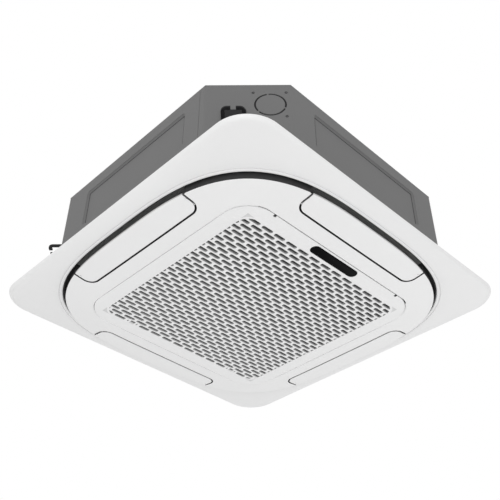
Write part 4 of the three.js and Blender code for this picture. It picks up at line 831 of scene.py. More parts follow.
# The finish of each solid that stays, by finish.
KEPT_SOLIDS = {
    "device_cream": ("flap_motor_right", "flap_motor_back", "flap_motor_left", "flap_motor_front",
                     "drain_pump", "float_switch", "terminal_block"),
    "duct_dark": ("grille_hinge_right", "grille_hinge_left"),
    "grille_white": ("grille_catch_right", "grille_catch_left"),
    "circuit_green": ("display_board", "control_board"),
    "casing_grey": ("top_plate",),
    "gasket_black": ("panel_gasket",),
    "foam_white": ("foam_liner", "drain_pan"),
    "bracket_black": ("hanger_bracket_back_right", "hanger_bracket_back_left",
                      "hanger_bracket_front_left", "hanger_bracket_front_right"),
    "copper_tube": ("coil_end_right", "coil_end_back"),
    "grommet_black": ("drain_plug",),
    "zinc_steel": ("fan_motor", "motor_shaft", "pump_bracket", "control_box", "control_cover"),
    "brass_nut": ("fan_nut",),
    "filter_net": ("float_ring",),
}


class CASSETTE_OT_finishes(bpy.types.Operator):
    """Makes the materials and gives them to the solids that stay"""
    bl_idname = "cassette.finishes"
    bl_label = "Finishes"

    def execute(self, context):
        colours = context.scene.cassette_colours
        moulded_plastic("panel_white", tuple(colours.panel), 0.42)
        moulded_plastic("flap_white", tuple(colours.centre), 0.42, shift=2.0)
        # The grille gets painted shade in its slots.
        moulded_plastic("grille_white", tuple(colours.centre), 0.45, shift=4.0, painted_slot_shade=0.8)
        moulded_plastic("duct_dark", tuple(colours.duct), 0.7, grain=0.00003, spread=0.06, specular=0.12)
        moulded_plastic("vane_grey", (0.26, 0.26, 0.26), 0.7, spread=0.05, specular=0.12)
        moulded_plastic("fan_plastic", (0.22, 0.23, 0.24), 0.5, spread=0.05)
        moulded_plastic("filter_net", tuple(colours.net), 0.6, spread=0.08)
        moulded_plastic("device_cream", (0.62, 0.59, 0.50), 0.5, spread=0.03)
        moulded_plastic("grommet_black", (0.02, 0.02, 0.021), 0.8, grain=0.00004, spread=0.15)
        painted_steel("casing_grey", tuple(colours.casing), 0.55)
        painted_steel("bracket_black", (0.018, 0.018, 0.019), 0.5, spread=0.1)
        zinc_steel("zinc_steel", (0.50, 0.51, 0.52))
        foam_beads("foam_white", (0.74, 0.74, 0.73))
        rubber_foam("gasket_black", (0.022, 0.022, 0.024))
        fin_aluminium("coil_fins")
        drawn_metal("copper_tube", (0.62, 0.28, 0.15), 0.28, (0.26, 0.12, 0.07))
        drawn_metal("brass_nut", (0.62, 0.47, 0.20), 0.3, (0.38, 0.28, 0.13))
        display_gloss("display_black")
        circuit_board("circuit_green")
        screw_metal("screw_dark", (0.05, 0.05, 0.052))
        for finish, names in KEPT_SOLIDS.items():
            for name in names:
                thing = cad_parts[name]
                thing.data.materials.clear()
                thing.data.materials.append(finish_of(finish))
        return {"FINISHED"}


# ---------------------------------------------------------------------------
# Stage
# ---------------------------------------------------------------------------

CAMERA_PLACE = (-1.169754, -1.194276, -1.120221)
CAMERA_RIGHT = (0.71266744, -0.7014982, 0.00232442)
CAMERA_UP = (-0.43611746, -0.44046112, 0.78472643)
CAMERA_AHEAD = (0.54946036, 0.56026269, 0.6198379)
CAMERA_LENS = 55.312


def lamp(name, place, target, size, power):
    light = bpy.data.lights.new(name, "AREA")
    light.shape = "DISK"
    light.size = size
    light.energy = power
    thing = bpy.data.objects.new(name, light)
    bpy.context.scene.collection.objects.link(thing)
    thing.location = place
    direction = Vector(target) - Vector(place)
    thing.rotation_euler = direction.to_track_quat("-Z", "Y").to_euler()
    return thing


class CASSETTE_OT_stage(bpy.types.Operator):
    """Sets the camera, the floor, the world and the lamps"""
    bl_idname = "cassette.stage"
    bl_label = "Stage"

    def execute(self, context):
        scene = context.scene
        camera = bpy.data.cameras.new("camera")
        camera.sensor_width = 36
        camera.lens = CAMERA_LENS
        camera.clip_end = 60
        eye = bpy.data.objects.new("camera", camera)
        scene.collection.objects.link(eye)
        columns = (CAMERA_RIGHT, CAMERA_UP, tuple(-value for value in CAMERA_AHEAD), CAMERA_PLACE)
        rows = [[column[row] for column in columns] for row in range(3)]
        eye.matrix_world = Matrix(rows + [[0, 0, 0, 1]])
        scene.camera = eye

        depth = -scene.cassette_sizes.lift
        floor_mesh = bpy.data.meshes.new("floor")
        floor_mesh.from_pydata([(x * FLOOR_REACH, y * FLOOR_REACH, depth)
                                for x, y in ((-1, -1), (1, -1), (1, 1), (-1, 1))], [], [(0, 1, 2, 3)])
        floor = bpy.data.objects.new("floor", floor_mesh)
        scene.collection.objects.link(floor)
        floor_mesh.materials.append(floor_finish("floor_pale").material)

        world = bpy.data.worlds.new("studio")
        world.use_nodes = True
        scene.world = world
        sky = Nodes(world.node_tree)
        light_path = sky.node("ShaderNodeLightPath", output="Is Camera Ray")
        glossy = sky.beside(light_path, "Is Glossy Ray")
        through = sky.beside(light_path, "Is Transmission Ray")
        seen = (light_path + glossy + through).clamped()
        soft = 0.83
        background = world.node_tree.nodes["Background"]
        background.inputs["Color"].default_value = (1, 1, 1, 1)
        strength = soft + seen * (1 - soft)
        world.node_tree.links.new(strength.socket, background.inputs["Strength"])

        lamp("key", (-2.8, -2.2, -1.5), (0, 0, 0.05), 2.4, 38)
        lamp("fill", (2.4, 0.2, -1.7), (0, 0, 0.05), 2.4, 11)
        lamp("top", (0.6, 0.8, 3.2), (0, 0, 0.2), 2.6, 40)
        scene.view_settings.view_transform = "Standard"
        return {"FINISHED"}


# ---------------------------------------------------------------------------
# Panel
# ---------------------------------------------------------------------------

def dome_z(share):
    return DOME_RISE * share ** DOME_POWER


def dome_at(distance):
    """Height of the domed border at a distance from the middle, square to a side."""
    return dome_z(max(distance - FIELD_EDGE, 0) / (CENTRE_HALF - FIELD_EDGE))


def dome_plate(thickness, rings=14, edge=1.4):
    """The domed border as one plate, its rim's lower edge rounded."""
    field = rounded_square(FIELD_EDGE, FIELD_CORNER)
    rim = squircle(CENTRE_HALF - edge)
    under = [at_height(rounded_square(FIELD_HALF, FIELD_CORNER), 0)]
    above = [at_height(rounded_square(FIELD_HALF, FIELD_CORNER), thickness)]
    for step in range(rings + 1):
        share = step / rings
        under.append(at_height(between(field, rim, share), dome_z(share)))
        above.append(at_height(between(field, rim, share), dome_z(share) + thickness))
    roll = []
    for step in range(1, 5):
        turn = math.radians(22.5 * step)
        roll.append(at_height(squircle(CENTRE_HALF - edge * (1 - math.sin(turn))),
                              DOME_RISE + edge * (1 - math.cos(turn))))
    roll.append(at_height(squircle(CENTRE_HALF), DOME_RISE + thickness))
    return loft(under + roll + list(reversed(above)))


def flap_outline(grown):
    """The outline of a flap on the +X side; grown moves its edges out."""
    inner = FLAP_INNER - grown
    half = FLAP_END + grown
    radius = FLAP_CORNER + grown
    outer = LIP_HALF + 6
    return ([(outer, -half), (outer, half)] + arc(inner + radius, half - radius, radius, 90, 180, 10)
            + arc(inner + radius, radius - half, radius, 180, 270, 10))


class CASSETTE_OT_panel_frame(bpy.types.Operator):
    """Makes the white outer frame with its rounded rim and rolled lip"""
    bl_idname = "cassette.panel_frame"
    bl_label = "Panel frame"

    def execute(self, context):
        roll, wall = 1.7, 3.0
        crease, crease_z = LIP_HALF + 7.5, LIP_Z + 0.9
        drop = RIM_Z - crease_z
        rings = [at_height(panel_outline(0), RIM_TOP)]
        for inset, z in RIM_BAND:
            rings.append(at_height(panel_outline(inset), z))
        outer, fold = panel_outline(RIM_BAND[-1][0]), squircle(crease)
        back = []
        for step in range(1, 21):
            share = step / 20
            z = RIM_Z - drop * (1 - (1 - share) ** 1.6)
            rings.append(at_height(between(outer, fold, share), z))
            if step % 3 == 1 and step < 19:
                back.append(at_height(between(outer, fold, share), z + wall))
        for out, rise in ((6.9, 2.9), (6.0, 2.7), (5.2, 0.9), (4.0, 0.25), (2.5, 0.0)):
            rings.append(at_height(squircle(LIP_HALF + out), LIP_Z + rise))
        for step in range(6):
            turn = math.radians(18 * step)
            rings.append(at_height(squircle(LIP_HALF - roll * math.sin(turn)),
                                   LIP_Z + roll * (1 - math.cos(turn))))
        inside = LIP_HALF - roll
        rings.append(at_height(squircle(inside), LIP_Z + 14))
        rings.append(at_height(squircle(inside + wall), LIP_Z + 14))
        rings.append(at_height(squircle(inside + wall), LIP_Z + roll + wall))
        rings += reversed(back)
        rings.append(at_height(panel_outline(RIM_BAND[-1][0] + 1), RIM_Z + wall))
        rings.append(at_height(panel_outline(wall), RIM_TOP))
        piece("panel_frame_shell", loft(rings), "panel_white", "unit", ("panel_frame",))
        return {"FINISHED"}


def flap_wall_shade(centre, normal):
    """Whether a face of the ring is a wall of a flap's opening; these walls get painted shade."""
    near, far = sorted((abs(centre.x), abs(centre.y)))
    upright = abs(normal.z) < 0.5
    return float(upright and GRILLE_HALF + 12 < far < CENTRE_HALF - 3 and near < FLAP_END + 10)


def flap_edge_shade(centre, normal):
    """How dark painted shade makes a face of a flap on the +X side: its ends lie deeper in the slit than its
    long edges and get more.
    """
    return float(abs(normal.z) < 0.5) * (0.8 if abs(normal.y) > 0.6 else 0.35)


class CASSETTE_OT_centre_ring(bpy.types.Operator):
    """Makes the domed white ring between the grille and the flaps"""
    bl_idname = "cassette.centre_ring"
    bl_label = "Centre ring"

    def execute(self, context):
        ring = dome_plate(2.5)
        opening = prism(rounded_square(GRILLE_HALF + SEAM, GRILLE_CORNER), -5, 30)
        flap_openings = [moved(prism(flap_outline(FLAP_GAP), -5, 30), quarter(turn)) for turn in range(4)]
        ring = cut(ring, opening, *flap_openings)
        inner, outer = GRILLE_HALF + 0.4, GRILLE_HALF + SEAM + 0.6
        low = dome_at(GRILLE_HALF) + 1.9
        ledge = cut(prism(rounded_square(outer, GRILLE_CORNER), low, low + 1.6),
                    prism(rounded_square(inner, GRILLE_CORNER - 2), -5, 30))
        # The grille's hinge edge swings up through this room.
        swing_room = block(-FIELD_HALF, FIELD_HALF, -GRILLE_HALF - 1.8, -GRILLE_HALF + 9, -5, 30)
        ring = joined(ring, cut(ledge, swing_room))
        # The walls of the flap openings get painted shade.
        paint_gap_shade(ring, flap_wall_shade)
        piece("centre_ring_shell", ring, "flap_white", "unit", ("centre_ring",))
        return {"FINISHED"}


class CASSETTE_OT_flaps(bpy.types.Operator):
    """Makes the four air flaps with their lugs and pins"""
    bl_idname = "cassette.flaps"
    bl_label = "Flaps"

    def execute(self, context):
        plate = combined(dome_plate(5), prism(flap_outline(0), -5, 40), "INTERSECT")
        foot = dome_at(FLAP_AXIS) + 2.5
        lug_outer = FLAP_END - 0.3
        shape = [(FLAP_AXIS - 14, foot), (FLAP_AXIS + 14, foot)]
        shape += arc(FLAP_AXIS, FLAP_AXIS_Z, 6, 0, 180, 14)
        for side in (1, -1):
            near, far = side * (lug_outer - 5), side * lug_outer
            low, high = min(near, far), max(near, far)
            lug = loft([[(x, low, z) for x, z in shape], [(x, high, z) for x, z in shape]], closed=False)
            pin = rod(3, (FLAP_AXIS, side * (lug_outer - 2.5), FLAP_AXIS_Z),
                      (FLAP_AXIS, side * (THROAT_END + 3), FLAP_AXIS_Z))
            plate = joined(plate, lug, pin)
        # The flap's upright edge faces get painted shade.
        paint_gap_shade(plate, flap_edge_shade)
        for turn, side in enumerate(("right", "back", "left", "front")):
            piece(f"flap_{side}_shell", moved(plate, quarter(turn)), "flap_white", f"{side}_flap",
                  (f"flap_{side}",))
        return {"FINISHED"}


class CASSETTE_OT_duct(bpy.types.Operator):
    """Makes the dark moulding seen in the groove and above the flaps"""
    bl_idname = "cassette.duct"
    bl_label = "Duct moulding"

    def execute(self, context):
        low, top, wall = 16.3, 55.7, 3
        outer = LIP_HALF - 1.7 - 0.3
        skirt_half = CENTRE_HALF - 2
        well = GRILLE_HALF + 2 * SEAM
        duct = joined(prism(squircle(skirt_half), low, top), prism(squircle(outer), top - 4, top))
        throats = [moved(block(THROAT_INNER, outer + 5, -THROAT_END, THROAT_END, -5, 70), quarter(turn))
                   for turn in range(4)]
        duct = cut(duct, *throats)
        outer_wall = cut(prism(squircle(outer), top - 22, top), prism(squircle(outer - wall), 0, 70))
        duct = joined(duct, outer_wall)
        duct = cut(duct, prism(rounded_square(well, GRILLE_CORNER), -5, 70))
        inside = prism(squircle(skirt_half - wall), -6, 71)
        well_wall = prism(rounded_square(well + wall, GRILLE_CORNER), -10, 80)
        for turn in range(4):
            pocket = block(THROAT_END + wall, outer, THROAT_END + wall, outer, low + wall, 61)
            pocket = combined(moved(pocket, quarter(turn)), inside, "INTERSECT")
            channel = block(well + wall, THROAT_INNER - wall, -THROAT_END, THROAT_END, low + wall, 61)
            pins = rod(3.6, (FLAP_AXIS, -THROAT_END - 6, FLAP_AXIS_Z),
                       (FLAP_AXIS, THROAT_END + 6, FLAP_AXIS_Z))
            duct = cut(duct, cut(pocket, well_wall), moved(channel, quarter(turn)),
                       moved(pins, quarter(turn)))
        piece("duct_moulding", duct, "duct_dark", "unit", ("duct_frame",))
        return {"FINISHED"}


class CASSETTE_OT_vanes(bpy.types.Operator):
    """Makes the rows of upright vanes that guide the air above each flap"""
    bl_idname = "cassette.vanes"
    bl_label = "Outlet vanes"

    def execute(self, context):
        mesh = bpy.data.meshes.new("sides")
        middle = Vector((sum(VANE_SPAN) / 2, 0, sum(VANE_HEIGHTS) / 2)) * MM
        mesh.from_pydata([tuple(quarter(turn) @ middle) for turn in range(4)], [], [])
        turns = mesh.attributes.new("side", "FLOAT", "POINT")
        for turn in range(4):
            turns.data[turn].value = turn * math.pi / 2
        growth = Growth("outlet_vanes", {
            "Vane Pitch": ("Float", context.scene.cassette_sizes.vane_pitch),
            "Vane Thickness": ("Float", 0.0016),
            "Vane Depth": ("Float", (VANE_SPAN[1] - VANE_SPAN[0]) * MM),
            "Vane Height": ("Float", (VANE_HEIGHTS[1] - VANE_HEIGHTS[0]) * MM),
            "Row Length": ("Float", 2 * (FLAP_END - 3) * MM),
            "Material": ("Material", finish_of("vane_grey")),
        })
        pitch, length = growth.given("Vane Pitch"), growth.given("Row Length")
        count = (length / pitch).floored()
        vane = growth.node("GeometryNodeMeshCube", {"Size": growth.vector(
            growth.given("Vane Depth"), growth.given("Vane Thickness"), growth.given("Vane Height"))})
        line = growth.node("GeometryNodeMeshLine", {
            "Count": count, "Start Location": growth.vector(0, (count - 1) * pitch * -0.5, 0),
            "Offset": growth.vector(0, pitch, 0)})
        row = growth.node("GeometryNodeInstanceOnPoints", {"Points": line, "Instance": vane})
        row = growth.node("GeometryNodeRealizeInstances", {0: row})
        side = growth.node("GeometryNodeInputNamedAttribute", {"Name": "side"}, {"data_type": "FLOAT"})
        turn = growth.node("FunctionNodeEulerToRotation", {0: growth.vector(0, 0, side)})
        points = growth.node("GeometryNodeMeshToPoints", {"Mesh": growth.given()})
        rows = growth.node("GeometryNodeInstanceOnPoints", {"Points": points, "Instance": row,
                                                            "Rotation": turn})
        grown = growth.run(rows, mesh, growth.given("Material"))
        piece("outlet_vane_rows", grown, "vane_grey", "unit")
        return {"FINISHED"}


# ---------------------------------------------------------------------------
# Intake grille
# ---------------------------------------------------------------------------

class CASSETTE_OT_grille(bpy.types.Operator):
    """Makes the grille: domed rim, thick field with staggered slots, flange and hinge lugs"""
    bl_idname = "cassette.grille"
    bl_label = "Intake grille"

    def execute(self, context):
        sizes = context.scene.cassette_sizes
        outline = rounded_square(GRILLE_HALF, GRILLE_CORNER)
        rim = combined(dome_plate(3), prism(outline, -5, 40), "INTERSECT")
        field = prism(rounded_square(FIELD_EDGE, FIELD_CORNER), 0, FIELD_DEPTH)
        flange = cut(prism(outline, 3 + dome_at(GRILLE_HALF) / 2, 9),
                     prism(rounded_square(GRILLE_HALF - 2, GRILLE_CORNER - 2), -5, 30))
        body = joined(rim, field, flange)
        for side in (1, -1):
            middle = side * (HINGE_X + 5.75)
            body = cut(body, block(middle - 4, middle + 4, -GRILLE_HALF - 5, HINGE_Y + 3.4, -5, 30))
        for side in (1, -1):
            lug = block(side * HINGE_X - 2.5, side * HINGE_X + 2.5, -GRILLE_HALF, HINGE_Y + 2.2,
                        1.5 + dome_at(GRILLE_HALF), HINGE_Z + 2.2)
            hole = rod(1.5, (side * HINGE_X - 5, HINGE_Y, HINGE_Z), (side * HINGE_X + 5, HINGE_Y, HINGE_Z),
                       16, 0.1)
            catch = block(side * CATCH_X - 7.3, side * CATCH_X + 7.3, CATCH_Y - 10, CATCH_Y + 2.8, -5, 30)
            body = cut(joined(body, lug), hole, catch)
        pill_radius = DISPLAY_RADIUS + DISPLAY_GAP
        pill = rounded_rectangle(DISPLAY_HALF + DISPLAY_GAP, pill_radius, pill_radius, 14)
        body = cut(body, moved(prism(pill, -5, 30), Matrix.Translation((0, DISPLAY_Y, 0))))

        kept = gathered(*[block(side * CATCH_X - 13, side * CATCH_X + 13, CATCH_Y - 14, 300, -6, 31)
                          for side in (1, -1)])
        kept_object = bpy.data.objects.new("kept", kept)
        context.scene.collection.objects.link(kept_object)
        growth = Growth("slot_field", {
            "Row Pitch": ("Float", sizes.row_pitch),
            "Slot Pitch": ("Float", sizes.slot_pitch),
            "Slot Height": ("Float", sizes.slot_height),
            "Slot Web": ("Float", sizes.slot_web),
            "Rows": ("Int", sizes.slot_rows),
            "Columns": ("Int", 16),
            "Field Size": ("Float", 2 * FIELD_HALF * MM),
            "Field Corner": ("Float", FIELD_CORNER * MM),
            "Kept": ("Object", kept_object),
            "Material": ("Material", finish_of("grille_white")),
        })
        row_pitch, slot_pitch = growth.given("Row Pitch"), growth.given("Slot Pitch")
        rows, columns = growth.given("Rows"), growth.given("Columns")
        grid = growth.node("GeometryNodeMeshGrid", {
            "Size X": (columns - 1) * slot_pitch, "Size Y": (rows - 1) * row_pitch,
            "Vertices X": columns, "Vertices Y": rows})
        place = growth.node("GeometryNodeInputPosition")
        y = growth.node("ShaderNodeSeparateXYZ", {0: place}, output="Y")
        row = (y / row_pitch + (rows - 1) / 2).rounded()
        stagger = (row % 2) * slot_pitch / 2
        grid = growth.node("GeometryNodeSetPosition", {"Geometry": grid,
                                                       "Offset": growth.vector(stagger, 0, 0)})
        slot_height = growth.given("Slot Height")
        slot = growth.prism(slot_pitch - growth.given("Slot Web"), slot_height, slot_height * 0.42, 3, 0.05)
        slots = growth.node("GeometryNodeInstanceOnPoints", {"Points": grid, "Instance": slot})
        slots = growth.node("GeometryNodeRealizeInstances", {0: slots})
        slots = growth.node("GeometryNodeTransform", {"Geometry": slots, "Translation": (0, 0, -0.02)})
        size = growth.given("Field Size")
        bounds = growth.prism(size, size, growth.given("Field Corner"), 8, 0.08)
        bounds = growth.node("GeometryNodeTransform", {"Geometry": bounds, "Translation": (0, 0, -0.03)})
        slots = growth.boolean("INTERSECT", slots, bounds)
        keeper = growth.node("GeometryNodeObjectInfo", {"Object": growth.given("Kept")}, output="Geometry")
        slots = growth.boolean("DIFFERENCE", slots, keeper)
        result = growth.boolean("DIFFERENCE", growth.given(), slots)
        grille = growth.run(result, body, growth.given("Material"))
        bpy.data.objects.remove(kept_object)
        piece("grille_slotted", grille, "grille_white", "grille", ("intake_grille",))
        return {"FINISHED"}


class CASSETTE_OT_display(bpy.types.Operator):
    """Makes the black display window with rounded edges"""
    bl_idname = "cassette.display"
    bl_label = "Display window"

    def execute(self, context):
        rings = []
        for step in range(5):
            turn = math.radians(22.5 * step)
            inset = 1.2 * (1 - math.sin(turn))
            radius = DISPLAY_RADIUS - inset
            outline = rounded_rectangle(DISPLAY_HALF - inset, radius, radius, 14)
            rings.append(at_height(outline, 0.3 + 1.2 * (1 - math.cos(turn))))
        rings.append(at_height(rounded_rectangle(DISPLAY_HALF, DISPLAY_RADIUS, DISPLAY_RADIUS, 14), 3))
        window = moved(loft(rings, closed=False), Matrix.Translation((0, DISPLAY_Y, 0)))
        piece("display_window", window, "display_black", "grille", ("display_lens",))
        return {"FINISHED"}


class CASSETTE_OT_filter(bpy.types.Operator):
    """Makes the filter's moulded frame and its woven net"""
    bl_idname = "cassette.air_filter"
    bl_label = "Air filter"

    def execute(self, context):
        half, border, bar, count = 283, 14, 6, 3
        low, high = FIELD_DEPTH + 0.3, FIELD_DEPTH + 5.3
        window = (2 * (half - border) - (count - 1) * bar) / count
        base = prism(rounded_square(half, 30), low, high)
        windows = []
        middles = []
        for i in range(count):
            for j in range(count):
                x = border - half + i * (window + bar)
                y = border - half + j * (window + bar)
                windows.append(block(x, x + window, y, y + window, low - 5, high + 5))
                middles.append((x + window / 2, y + window / 2))
        body = cut(base, gathered(*windows))
        front = GRILLE_HALF + SEAM / 2 - 52 - 6 - 1.5
        for side in (1, -1):
            middle = side * CATCH_X
            collar = block(middle - 22.5, middle + 22.5, front - 6, half + 5, low, high)
            body = joined(body, combined(collar, base, "INTERSECT"))
        for side in (1, -1):
            middle = side * CATCH_X
            body = cut(body, block(middle - 16.5, middle + 16.5, front, half + 9, low - 5, high + 5))

        growth = Growth("filter_net", {
            "Net Pitch": ("Float", context.scene.cassette_sizes.net_pitch),
            "Window": ("Float", window * MM),
            "Thread": ("Float", 0.0007),
            "Material": ("Material", finish_of("filter_net")),
        })
        size, thread, pitch = growth.given("Window"), growth.given("Thread"), growth.given("Net Pitch")
        threads = (size / pitch).floored()
        runs = []
        for across in (False, True):
            thin = growth.vector(size, thread, thread) if across else growth.vector(thread, size, thread)
            strand = growth.node("GeometryNodeMeshCube", {"Size": thin})
            step = growth.vector(0, pitch, 0) if across else growth.vector(pitch, 0, 0)
            start = (threads - 1) * pitch * -0.5
            begin = growth.vector(0, start, 0) if across else growth.vector(start, 0, 0)
            line = growth.node("GeometryNodeMeshLine", {"Count": threads, "Start Location": begin,
                                                        "Offset": step})
            runs.append(growth.node("GeometryNodeInstanceOnPoints", {"Points": line, "Instance": strand}))
        weave = growth.node("GeometryNodeRealizeInstances", {0: growth.joined(*runs)})
        points = growth.node("GeometryNodeMeshToPoints", {"Mesh": growth.given()})
        nets = growth.node("GeometryNodeInstanceOnPoints", {"Points": points, "Instance": weave})
        centres = bpy.data.meshes.new("centres")
        centres.from_pydata([(x * MM, y * MM, (low + 1.2) * MM) for x, y in middles], [], [])
        net = growth.run(nets, centres, growth.given("Material"))
        piece("filter_frame_and_net", gathered(body, net), "filter_net", "grille",
              ("air_filter",))
        return {"FINISHED"}


# ---------------------------------------------------------------------------
# Casing
# ---------------------------------------------------------------------------

def casing_outline(inset, bend=9.0, steps=6):
    """The casing's plan: a square with cut corners, its eight bends rounded."""
    half = BODY_HALF - inset
    flat = BODY_HALF - CORNER_CUT - inset * math.tan(math.pi / 8)
    radius = bend - inset
    corners = [(half, -flat), (half, flat), (flat, half), (-flat, half),
               (-half, flat), (-half, -flat), (-flat, -half), (flat, -half)]
    points = []
    for i, corner in enumerate(corners):
        before, after = Vector(corners[i - 1]), Vector(corners[(i + 1) % 8])
        here = Vector(corner)
        inward = ((before - here).normalized() + (after - here).normalized()).normalized()
        middle = here + inward * radius / math.cos(math.pi / 8)
        start = math.degrees(math.atan2(-inward.y, -inward.x)) - 22.5
        points += arc(middle.x, middle.y, radius, start, start + 45, steps)
    return points


RECESS_MIDDLE = CASING_TOP - RECESS_BELOW_TOP - RECESS_HALF_HEIGHT


def at_recess(tool, turn):
    """Takes a cutter from the +X side to a side; the recess on the -X side lies aside of the middle."""
    aside = RECESS_ASIDE if turn == 2 else 0
    return moved(moved(tool, Matrix.Translation((0, aside, 0))), quarter(turn))


def recess_outline(grown, radius, steps):
    return rounded_rectangle(RECESS_HALF_LENGTH + grown, RECESS_HALF_HEIGHT + grown, radius, steps)


def recess_tool(turn, inset):
    """A cutter for one side's pressed recess, its walls sloping inwards and its corners round."""
    rings = []
    for x, grown in ((BODY_HALF + 6, 0.0), (BODY_HALF - 0.01, 0.0), (BODY_HALF - 1.0, -0.4),
                     (BODY_HALF - 4.2, -3.4), (BODY_HALF - 5, -4.6)):
        outline = recess_outline(grown + inset, 9 + inset, 5)
        rings.append([(x - inset, y, RECESS_MIDDLE + z) for y, z in outline])
    return at_recess(loft(rings, closed=False), turn)


def recess_groove(turn):
    """A cutter for the narrow groove round a recess's floor."""
    tool = []
    for grown, extra in ((-4.9, 0), (-7.2, 1)):
        outline = recess_outline(grown, 5 - extra, 4)
        tool.append(loft([[(x, y, RECESS_MIDDLE + z) for y, z in outline]
                          for x in (BODY_HALF - 4.5 + extra, BODY_HALF - 6.3 - extra)], closed=False))
    return at_recess(cut(*tool), turn)


def painted_groove_shade(centre, normal):
    """How dark painted shade makes a face of the casing: only the floor of the groove round a recess."""
    return 0.75 * float(BODY_HALF - 6.8 < max(abs(centre.x), abs(centre.y)) < BODY_HALF - 5.15)


def corner_hole(radius, along_face, z):
    """A round cutter through the service corner's face."""
    return rod(radius, corner_place(0, along_face, -12, z), corner_place(0, along_face, 6, z), 40, 0.1)


def corner_place(corner, along_face, out, z):
    """A place on a cut corner's face; corner 0 is +X+Y, counted anticlockwise."""
    turn = math.radians(45 + 90 * corner)
    face = CORNER_FACE + out
    return (face * math.cos(turn) - along_face * math.sin(turn),
            face * math.sin(turn) + along_face * math.cos(turn), z)


class CASSETTE_OT_casing(bpy.types.Operator):
    """Makes the casing's bent sheet with its recesses, knock-out, pipe window and lap seams"""
    bl_idname = "cassette.casing"
    bl_label = "Casing"

    def execute(self, context):
        outside = prism(casing_outline(0), CASING_LOW, WRAP_TOP)
        inside = prism(casing_outline(SHEET), CASING_LOW - 5, WRAP_TOP + 5)
        for turn in range(4):
            outside = cut(outside, recess_tool(turn, 0))
            inside = cut(inside, recess_tool(turn, SHEET))
        wrap = cut(outside, inside)
        for turn in range(4):
            wrap = cut(wrap, recess_groove(turn))
        knockout = Vector(corner_place(2, KNOCKOUT_ALONG, 0, KNOCKOUT_Z))
        face = Matrix.Rotation(math.radians(-135), 4, "Z") @ Matrix.Rotation(math.radians(90), 4, "Y")
        for part in range(3):
            start = part * 120 + KNOCKOUT_START
            end = start + KNOCKOUT_SWEEP
            ring = arc(0, 0, KNOCKOUT_OUTER, start, end, 22) + arc(0, 0, KNOCKOUT_INNER, end, start, 22)
            wrap = cut(wrap, moved(prism(ring, -8, 8), Matrix.Translation(knockout) @ face))
        window = moved(block(-12, 5, -43, 43, -16, 16), Matrix.Translation(corner_place(0, 0, 0, PIPE_Z))
                       @ Matrix.Rotation(math.radians(45), 4, "Z"))
        wrap = cut(wrap, window, corner_hole(12.8, DRAIN_ALONG, DRAIN_Z),
                   corner_hole(10.3, GLAND_ALONG, GLAND_Z))
        seams = []
        for x, y in ((-BODY_HALF, -LAP_SEAM_Y), (BODY_HALF, LAP_SEAM_Y)):
            seams.append(block(x - 0.7, x + 0.7, y - 0.7, y + 0.7, CASING_LOW - 5, WRAP_TOP + 5))
        wrap = cut(wrap, *seams)
        # The floor of each recess's groove gets painted shade.
        paint_gap_shade(wrap, painted_groove_shade)
        # A thin black disc behind the knock-out's slots is painted shade that makes them read dark.
        shade_disc = moved(spun([(41, 0), (41, 0.2)], 40), Matrix.Translation(
            corner_place(2, KNOCKOUT_ALONG, -2.25, KNOCKOUT_Z)) @ face)
        piece("knockout_backing", shade_disc, "grommet_black", "unit")
        piece("casing_sheet", wrap, "casing_grey", "unit", ("casing_wrap",), sharp=24)
        return {"FINISHED"}


class CASSETTE_OT_screws(bpy.types.Operator):
    """Puts the screws that hold the brackets and the lid to the casing's cut corners"""
    bl_idname = "cassette.screws"
    bl_label = "Screws"

    def scatter(self, name, places, finish, radius):
        head = [(radius * 0.45, -0.6), (radius * 0.5, 0.5), (radius * 0.62, 1.0), (radius * 0.9, 0.7),
                (radius, 0.0), (radius, -0.6)]
        pan = turned(head, 12)
        socket = spun([(radius * 0.46, -0.6), (radius * 0.46, -0.2)], 8)
        head_object = bpy.data.objects.new("head", gathered(pan, socket))
        bpy.context.scene.collection.objects.link(head_object)
        growth = Growth(name, {
            "Head": ("Object", head_object),
            "Material": ("Material", finish_of(finish)),
        })
        facing = growth.node("GeometryNodeInputNamedAttribute", {"Name": "facing"},
                             {"data_type": "FLOAT_VECTOR"})
        turn = growth.node("FunctionNodeAlignRotationToVector", {"Vector": facing}, {"axis": "Z"})
        points = growth.node("GeometryNodeMeshToPoints", {"Mesh": growth.given()})
        shape = growth.node("GeometryNodeObjectInfo", {"Object": growth.given("Head")}, output="Geometry")
        heads = growth.node("GeometryNodeInstanceOnPoints", {"Points": points, "Instance": shape,
                                                             "Rotation": turn})
        mesh = bpy.data.meshes.new("places")
        mesh.from_pydata([tuple(value * MM for value in place) for place, _ in places], [], [])
        attribute = mesh.attributes.new("facing", "FLOAT_VECTOR", "POINT")
        for i, (_, direction) in enumerate(places):
            attribute.data[i].vector = direction
        grown = growth.run(heads, mesh, growth.given("Material"))
        bpy.data.objects.remove(head_object)
        return grown

    def execute(self, context):
        wall = []
        root_half = math.sqrt(0.5)
        for corner, sign in ((2, (-1, -1)), (3, (1, -1)), (1, (-1, 1)), (0, (1, 1))):
            out = (sign[0] * root_half, sign[1] * root_half, 0)
            for along_face, z in SCREW_SPOTS:
                wall.append((corner_place(corner, along_face, 0.0, z), out))
        mesh = self.scatter("casing_screws", wall, "screw_dark", SCREW_RADIUS)
        piece("casing_screw_heads", mesh, "screw_dark", "unit")
        return {"FINISHED"}


# ---------------------------------------------------------------------------
# Inside
# ---------------------------------------------------------------------------

def coil_path(half, radius, steps=10):
    """The coil's middle line in plan, open at the +X+Y corner."""
    end = COIL_OUTER - COIL_OPEN
    run = [(half, end)]
    run += arc(half - radius, radius - half, radius, 0, -90, steps)
    run += arc(radius - half, radius - half, radius, -90, -180, steps)
    run += arc(radius - half, half - radius, radius, 180, 90, steps)
    run.append((end, half))
    return run


